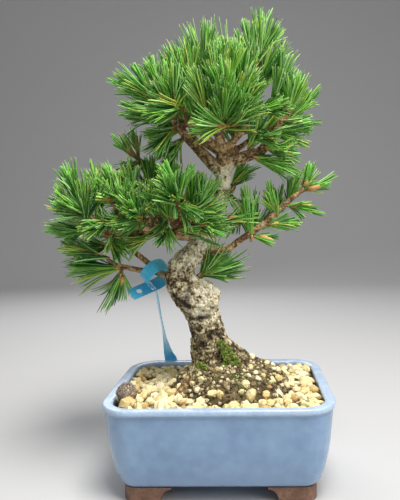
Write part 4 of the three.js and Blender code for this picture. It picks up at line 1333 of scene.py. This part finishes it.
def blades(roots, aims, lengths, bends, widths, sorts, chance):
    """Needles: three-sided prisms, closed at the root and drawn to a tip. The middle line is
    root + length (s aim + s^2 bend), and the half width follows ROW_WIDTHS. With the points and
    faces come the pattern's places: across it by the needle's sort and side, up it by s."""
    count, rows = len(roots), len(ROW_PLACES)
    first, second = side_vectors(aims)
    turn = chance.uniform(0, 2 * math.pi, (count, 1)) + np.arange(3) * 2 * math.pi / 3
    ring = ring_ways(first, second, turn)
    s = ROW_PLACES[None, :, None]
    middle = roots[:, None] + lengths[:, None, None] * (s * aims[:, None] + s**2 * bends[:, None])
    half = (widths / 2)[:, None] * ROW_WIDTHS[None]
    body = middle[:, :, None] + half[:, :, None, None] * ring[:, None]
    tip = roots + lengths[:, None] * (aims + bends)
    points = np.concatenate([body.reshape(count, rows * 3, 3), tip[:, None]], 1)
    sheet = grid_faces(rows, 3, True)
    side = np.tile(np.arange(3), rows - 1)
    row = np.repeat(np.arange(rows - 1), 3)
    tip_faces = np.array([[(rows - 1) * 3 + k, (rows - 1) * 3 + (k + 1) % 3, rows * 3] for k in range(3)])
    triangles = np.vstack([tip_faces, [[0, 2, 1]]])
    across4 = np.stack([side, side + 1, side + 1, side], 1) / 3
    up4 = ROW_PLACES[np.stack([row, row, row + 1, row + 1], 1)]
    tip_across = np.stack([np.arange(3), np.arange(3) + 1, np.arange(3) + 0.5], 1) / 3
    across3 = np.vstack([tip_across, [[0.1, 0.2, 0.15]]])
    up3 = np.vstack([np.tile([ROW_PLACES[-1], ROW_PLACES[-1], 1.0], (3, 1)), [[0.0, 0.0, 0.0]]])
    one = points[0] - points[0].mean(0)
    a, b, c = (one[sheet[:, i]] for i in range(3))
    if np.einsum("ij,ij->i", a, np.cross(b, c)).sum() < 0:
        sheet, triangles = sheet[:, ::-1], triangles[:, ::-1]
        across4, up4, across3, up3 = (places[:, ::-1] for places in (across4, up4, across3, up3))
    corners = rows * 3 + 1
    quads = repeat_shape(sheet, corners, count)
    tris = repeat_shape(triangles, corners, count)
    strip = sorts[:, None, None] + 0.03
    across = np.concatenate([((strip + 0.94 * places) / VARIANTS).ravel() for places in (across4, across3)])
    up = np.concatenate([np.tile((0.01 + 0.98 * places).ravel(), count) for places in (up4, up3)])
    return points.reshape(-1, 3), quads, tris, across, up


def wood_samples():
    """Points along the trunk and branches, with the radius there: x, y, height over the ground, r."""
    lines = [TRUNK_LINE, *BRANCH_LINES]
    samples = np.vstack([smooth_line(line, 6 * len(line)) for line in lines])
    return samples + [0, 0, STONE_TOP, 0]


WOOD = wood_samples()


def bundle_plan(start, reach, count, fan, room, chance):
    """Where a tuft's needle bundles spring from, the way they point and how long they are. They
    stand round the tuft's line by the golden angle; each leans from it by fan sqrt(share), and the
    widest spring lowest, as far down the twig as there is room. The middle ones end where the
    reach ends."""
    size = np.linalg.norm(reach)
    aim = reach / size
    share = (np.arange(count) + chance.uniform(0.2, 0.8, count)) / count
    turn = chance.uniform(0, 2 * math.pi) + GOLDEN_ANGLE * np.arange(count)
    lean = np.radians(fan) * 1.3 * np.sqrt(share) * chance.uniform(0.6, 1.2, count)
    lean = np.where(chance.uniform(size=count) < 0.13, lean * 1.4 + 0.1, lean)
    first, second = side_vectors(aim[None])
    out = np.cos(turn)[:, None] * first + np.sin(turn)[:, None] * second
    aims = unit(aim * np.cos(lean)[:, None] + out * np.sin(lean)[:, None])
    along = 8.0 - (8.0 + room) * share + chance.normal(0, 1.6, count)
    roots = start + aim * along[:, None] + out * 0.8
    lengths = np.clip(size - along * 0.6, 22, 46) * chance.uniform(0.74, 1.0, count)
    return roots, aims, lengths


STRAYS = 2  # bundles of a tuft that point anywhere near its aim


class Foliage:
    """Gathers the needles, sheaths, buds and twigs of one group of shoots."""

    def __init__(self, settings, seed):
        """An empty group with random draws of its own."""
        self.settings = settings
        self.chance = np.random.default_rng(seed)
        self.needles = []
        self.scales = []
        self.twigs = []

    def add_bundles(self, roots, aims, lengths, bends, fan, apart, sorts):
        """Five needles for each bundle: they start a little apart and spread by the fan."""
        chance, count = self.chance, len(roots)
        first, second = side_vectors(aims)
        turn = chance.uniform(0, 2 * math.pi, (count, 1)) + np.arange(IN_BUNDLE) * 2 * math.pi / IN_BUNDLE
        out = ring_ways(first, second, turn)
        way = unit((aims[:, None] + fan[:, None, None] * out).reshape(-1, 3))
        start = (roots[:, None] + apart * out).reshape(-1, 3)
        size = np.repeat(lengths, IN_BUNDLE) * chance.uniform(0.93, 1.03, count * IN_BUNDLE)
        bend = np.repeat(bends, IN_BUNDLE, 0) + chance.normal(0, 0.03, (count * IN_BUNDLE, 3))
        width = self.settings.needle_width / MM * chance.uniform(0.85, 1.15, count * IN_BUNDLE)
        self.needles.append((start, way, size, bend, width, sorts))

    def grow_tuft(self, start, reach, bundles, fan, young):
        """One tuft, as TUFTS lists it: its bundles, two stray ones, its young ones in the middle, its
        twig, a bud, and a sheath round the foot of each bundle."""
        chance = self.chance
        start = np.array(start, float) + [0, 0, STONE_TOP]
        reach = np.array(reach, float)
        size, aim = np.linalg.norm(reach), unit(reach)
        count = max(int(bundles * self.settings.fullness), 1)
        room = np.clip(np.min(np.linalg.norm(WOOD[:, :3] - start, axis=1) - WOOD[:, 3]), 1.0, 12.0)
        roots, aims, lengths = bundle_plan(start, reach, count, fan, room, chance)
        bends = chance.normal(0, 0.11, (count, 3)) + [0, 0, 0.03]
        old = VARIANTS - YOUNG_VARIANTS
        sorts = np.repeat(chance.integers(0, old, count), IN_BUNDLE)
        odd = chance.uniform(size=count * IN_BUNDLE) < 0.35
        sorts = np.where(odd, chance.integers(0, old, count * IN_BUNDLE), sorts)
        self.add_bundles(roots, aims, lengths, bends, chance.uniform(0.02, 0.12, count), 0.35, sorts)
        strays = unit(chance.normal(0, 0.22, (STRAYS, 3)) + aim)
        self.add_bundles(np.repeat(start[None], STRAYS, 0), strays, size * chance.uniform(0.8, 1.0, STRAYS),
                         chance.normal(0, 0.2, (STRAYS, 3)), np.full(STRAYS, 0.16), 0.35,
                         chance.integers(0, old, STRAYS * IN_BUNDLE))
        if young:
            lean = np.radians(fan) * chance.uniform(0.1, 0.9, (young, 1))
            side, other_side = side_vectors(aim[None])
            spin = chance.uniform(0, 2 * math.pi) + np.arange(young)[:, None] * 2 * math.pi / young
            ways = unit(aim + lean * (np.cos(spin) * side + np.sin(spin) * other_side))
            self.add_bundles(start + aim * 4 + ways, ways, size * chance.uniform(0.72, 0.98, young),
                             chance.normal(0, 0.02, (young, 3)), np.full(young, 0.012), 0.6,
                             chance.integers(old, VARIANTS, young * IN_BUNDLE))
        self.add_twig(start - aim * room * 0.8, start + aim * 6, aim)
        if young or chance.uniform() < 0.7:
            self.scales.append(("bud", start + aim * 4, start + aim * chance.uniform(13, 18),
                                chance.uniform(2.3, 3.3), 0.3))
        for root, way in zip(roots, aims):
            head = root + way * chance.uniform(2.6, 4.2)
            self.scales.append(("sheath", root - way * 0.8, head, 0.95, 0.9))

    def add_twig(self, foot, head, aim):
        """A thin twig from the nearest wood to the tuft, in a curve that ends along the tuft."""
        away = np.linalg.norm(WOOD[:, :3] - foot, axis=1) - WOOD[:, 3]
        nearest = WOOD[np.argmin(away), :3]
        halfway = nearest * 0.45 + foot * 0.55 + aim
        self.twigs.append(tube([[*nearest, 1.8], [*halfway, 1.5], [*foot, 1.35], [*head, 1.15]], 12, 6))

    def needle_mesh(self, name):
        """All the group's needles as one mesh."""
        arrays = [np.concatenate(column) for column in zip(*self.needles)]
        points, quads, tris, across, up = blades(*arrays, self.chance)
        mesh = new_mesh(name, points, quads, tris)
        set_pattern(mesh, across, up)
        return mesh

    def scale_mesh(self, name):
        """Buds and sheaths, with the twigs: five-sided spindles from a foot to a head. The half width
        runs from r0 to r1 with s, and on a bud with s^2.4, so that it stays wide and then closes."""
        is_bud = np.array([kind == "bud" for kind, *_ in self.scales])
        feet, heads, low, high = (np.array([item[i] for item in self.scales]) for i in range(1, 5))
        count, sides = len(feet), 5
        first, second = side_vectors(heads - feet)
        ring = ring_ways(first, second, np.arange(sides)[None] * 2 * math.pi / sides)
        s = np.array([0.0, 0.35, 0.7, 1.0])
        half = low[:, None] + (high - low)[:, None] * s[None] ** np.where(is_bud, 2.4, 1.0)[:, None]
        middle = feet[:, None] + (heads - feet)[:, None] * s[None, :, None]
        corners = len(s) * sides
        points = (middle[:, :, None] + half[..., None, None] * ring[:, None]).reshape(count, corners, 3)
        foot_end = np.array([[0, 2, 1], [0, 3, 2], [0, 4, 3]])
        head_end = foot_end[:, ::-1] + corners - sides
        triangles = np.vstack([cut_in_two(grid_faces(len(s), sides, True)), foot_end, head_end])
        faces = facing_out(points[0] - points[0].mean(0), triangles)
        twigs, twig_faces = joined(self.twigs)
        scales = (points.reshape(-1, 3), repeat_shape(faces, corners, count))
        mesh = new_mesh(name, *joined([scales, (twigs, twig_faces)]))
        bud_tint, sheath_tint = self.chance.uniform(0.4, 0.75, count), self.chance.uniform(0.35, 0.95, count)
        tint = np.where(is_bud, bud_tint, sheath_tint)[:, None] + 0.25 * (np.repeat(s, sides) - 0.5)
        set_tint(mesh, np.concatenate([np.clip(tint, 0, 1).ravel(), np.full(len(twigs), 0.08)]))
        return mesh


class BONSAI_OT_needles(Operator):
    """Grows the needles, sheaths, buds and last twigs of every shoot"""

    bl_idname = "bonsai.needles"
    bl_label = "Needles and Buds"

    def execute(self, context):
        settings = settings_of(context)
        needles, scales = needle_look(settings), bud_look()
        left = [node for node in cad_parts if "shoot" in node or node == "trunk_sprout"]
        for seed, (group, starts) in enumerate(FOLIAGE_NODES.items()):
            taken = [node for node in left if node.startswith(starts)]
            left = [node for node in left if node not in taken]
            foliage = Foliage(settings, 70 + seed)
            for tuft in TUFTS[group]:
                foliage.grow_tuft(*tuft)
            needle_piece, bud_piece = f"needles_{group}", f"buds_{group}"
            add_piece(needle_piece, foliage.needle_mesh(needle_piece), needles, taken)
            add_piece(bud_piece, foliage.scale_mesh(bud_piece), scales, [])
        if left:
            raise RuntimeError(f"no group stands for the shoots {left}")
        return {"FINISHED"}


# ---------------------------------------------------------------- label


class BONSAI_OT_label(Operator):
    """Finishes the loop label, smooth along the strap and sharp at its edges"""

    bl_idname = "bonsai.label"
    bl_label = "Loop Label"

    def execute(self, context):
        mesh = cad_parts["plant_label"].data.copy()
        mesh.name = "label"
        weld(mesh, 0.001)
        mesh.materials.clear()
        add_piece("label", mesh, label_look(settings_of(context)), ["plant_label"])
        mesh.set_sharp_from_angle(angle=math.radians(40))
        return {"FINISHED"}


# ---------------------------------------------------------------- stage

CAMERA_FROM_POT = (25.27, -418.79, 213.96)  # from the pot's middle on the ground
CAMERA_TURN = (-0.0323, 0.0581, -0.0200)  # turned, tipped down and rolled, in radians
CAMERA_LENS = 35.77
CAMERA_SHIFT = -0.0647
# Name, place and aim in metres from the pot's middle, side, share of the lamp power, colour.
LAMPS = (
    ("lamp_over", (0.2, -0.35, 1.1), (0, 0, 0.25), 0.45, 1.0, (1.0, 0.98, 0.93)),
    ("lamp_right", (0.95, -0.6, 0.65), (0, 0, 0.2), 0.6, 0.3, (1.0, 0.99, 0.97)),
    ("lamp_behind", (-0.3, 0.9, 0.8), (0, 0, 0.25), 0.6, 0.3, (1.0, 1.0, 1.0)),
)
FLOOR_FRONT, FLOOR_BEND, FLOOR_BACK = -3.0, 1.2, 2.1  # metres along Y, where it starts, curves, stands
FLOOR_HALF, FLOOR_TOP = 4.0, 4.0


def camera_turning():
    """Right, up and back of the camera as columns, from how far it is turned, tipped and rolled."""
    turn, tip, roll = CAMERA_TURN
    ahead = np.array([math.sin(turn) * math.cos(tip), math.cos(turn) * math.cos(tip), -math.sin(tip)])
    right = np.array([math.cos(turn), -math.sin(turn), 0.0])
    up = np.cross(right, ahead)
    rolled_right = right * math.cos(roll) + up * math.sin(roll)
    rolled_up = -right * math.sin(roll) + up * math.cos(roll)
    return np.stack([rolled_right, rolled_up, -ahead], 1)


def add_lamp(name, place, aim, size, power, tone):
    """A square soft lamp that faces a point. Places are in metres from the pot's middle."""
    data = bpy.data.lights.new(name, "AREA")
    data.shape = "SQUARE"
    data.size = size
    data.energy = power
    data.color = tone
    lamp = bpy.data.objects.new(name, data)
    bpy.context.scene.collection.objects.link(lamp)
    lamp.location = np.array(place) + CENTRE * MM
    lamp.rotation_euler = (Vector(place) - Vector(aim)).to_track_quat("Z", "Y").to_euler()


def floor_mesh():
    """A strip that lies flat, turns up through a quarter circle and stands: y = bend + r sin a and
    z = r - r cos a on the quarter."""
    look, _, _ = new_look("pale_floor", Roughness=0.75, Base_Color=(0.52, 0.52, 0.53, 1))
    turn = np.linspace(0, math.pi / 2, 17)
    radius = FLOOR_BACK - FLOOR_BEND
    y = np.concatenate([[FLOOR_FRONT], FLOOR_BEND + radius * np.sin(turn), [FLOOR_BACK]])
    z = np.concatenate([[0], radius - radius * np.cos(turn), [FLOOR_TOP]])
    points = np.stack([np.tile([-FLOOR_HALF, FLOOR_HALF], len(y)), np.repeat(y, 2), np.repeat(z, 2)], 1)
    faces = [(2 * i, 2 * i + 1, 2 * i + 3, 2 * i + 2) for i in range(len(y) - 1)]
    mesh = bpy.data.meshes.new("floor")
    mesh.from_pydata(points, [], faces)
    mesh.polygons.foreach_set("use_smooth", np.full(len(faces), True))
    mesh.materials.append(look)
    return mesh


def add_camera(scene):
    """The camera, from its place and turn."""
    data = bpy.data.cameras.new("camera")
    data.lens = CAMERA_LENS
    data.sensor_width = 36
    data.shift_x = CAMERA_SHIFT
    data.clip_start = 0.01
    camera = bpy.data.objects.new("camera", data)
    scene.collection.objects.link(camera)
    matrix = Matrix(camera_turning()).to_4x4()
    matrix.translation = (CENTRE + CAMERA_FROM_POT) * MM
    camera.matrix_world = matrix
    scene.camera = camera


class BONSAI_OT_stage(Operator):
    """Sets the floor, which curves up far behind, the soft lamps and the camera"""

    bl_idname = "bonsai.stage"
    bl_label = "Stage"

    def execute(self, context):
        scene = context.scene
        floor = bpy.data.objects.new("floor", floor_mesh())
        scene.collection.objects.link(floor)
        power = settings_of(context).lamp_power
        for name, place, aim, size, share, tone in LAMPS:
            add_lamp(name, place, aim, size, power * share, tone)
        world = bpy.data.worlds.new("soft_room")
        world.use_nodes = True
        world.node_tree.nodes["Background"].inputs[0].default_value = (0.84, 0.85, 0.86, 1)
        world.node_tree.nodes["Background"].inputs[1].default_value = 0.33
        scene.world = world
        add_camera(scene)
        scene.view_settings.view_transform = "Standard"
        return {"FINISHED"}


# ---------------------------------------------------------------- add-on


class BONSAI_PT_panel(Panel):
    """Lists the steps that build the bonsai"""

    bl_idname = "BONSAI_PT_panel"
    bl_label = "Bonsai Pine"
    bl_space_type = "VIEW_3D"
    bl_region_type = "UI"
    bl_category = "Bonsai"

    def draw(self, context):
        """A button for each step and a field for each setting."""
        for step in STEPS:
            self.layout.operator(step.bl_idname)
        for name in BONSAI_PG_settings.__annotations__:
            self.layout.prop(settings_of(context), name)


STEPS = (
    BONSAI_OT_stage, BONSAI_OT_pot, BONSAI_OT_inside, BONSAI_OT_stones, BONSAI_OT_mound, BONSAI_OT_moss,
    BONSAI_OT_compost, BONSAI_OT_wood, BONSAI_OT_needles, BONSAI_OT_label,
)


def register():
    """Makes the settings, the steps and the panel known."""
    for made in (BONSAI_PG_settings, *STEPS, BONSAI_PT_panel):
        bpy.utils.register_class(made)
    bpy.types.Scene.bonsai = PointerProperty(type=BONSAI_PG_settings)


def unregister():
    """Takes them away again."""
    del bpy.types.Scene.bonsai
    for made in reversed((BONSAI_PG_settings, *STEPS, BONSAI_PT_panel)):
        bpy.utils.unregister_class(made)


def main():
    """Builds the bonsai step by step."""
    register()
    for step in STEPS:
        group, name = step.bl_idname.split(".")
        getattr(getattr(bpy.ops, group), name)()
    bpy.context.view_layer.update()


if __name__ == "__main__":
    main()
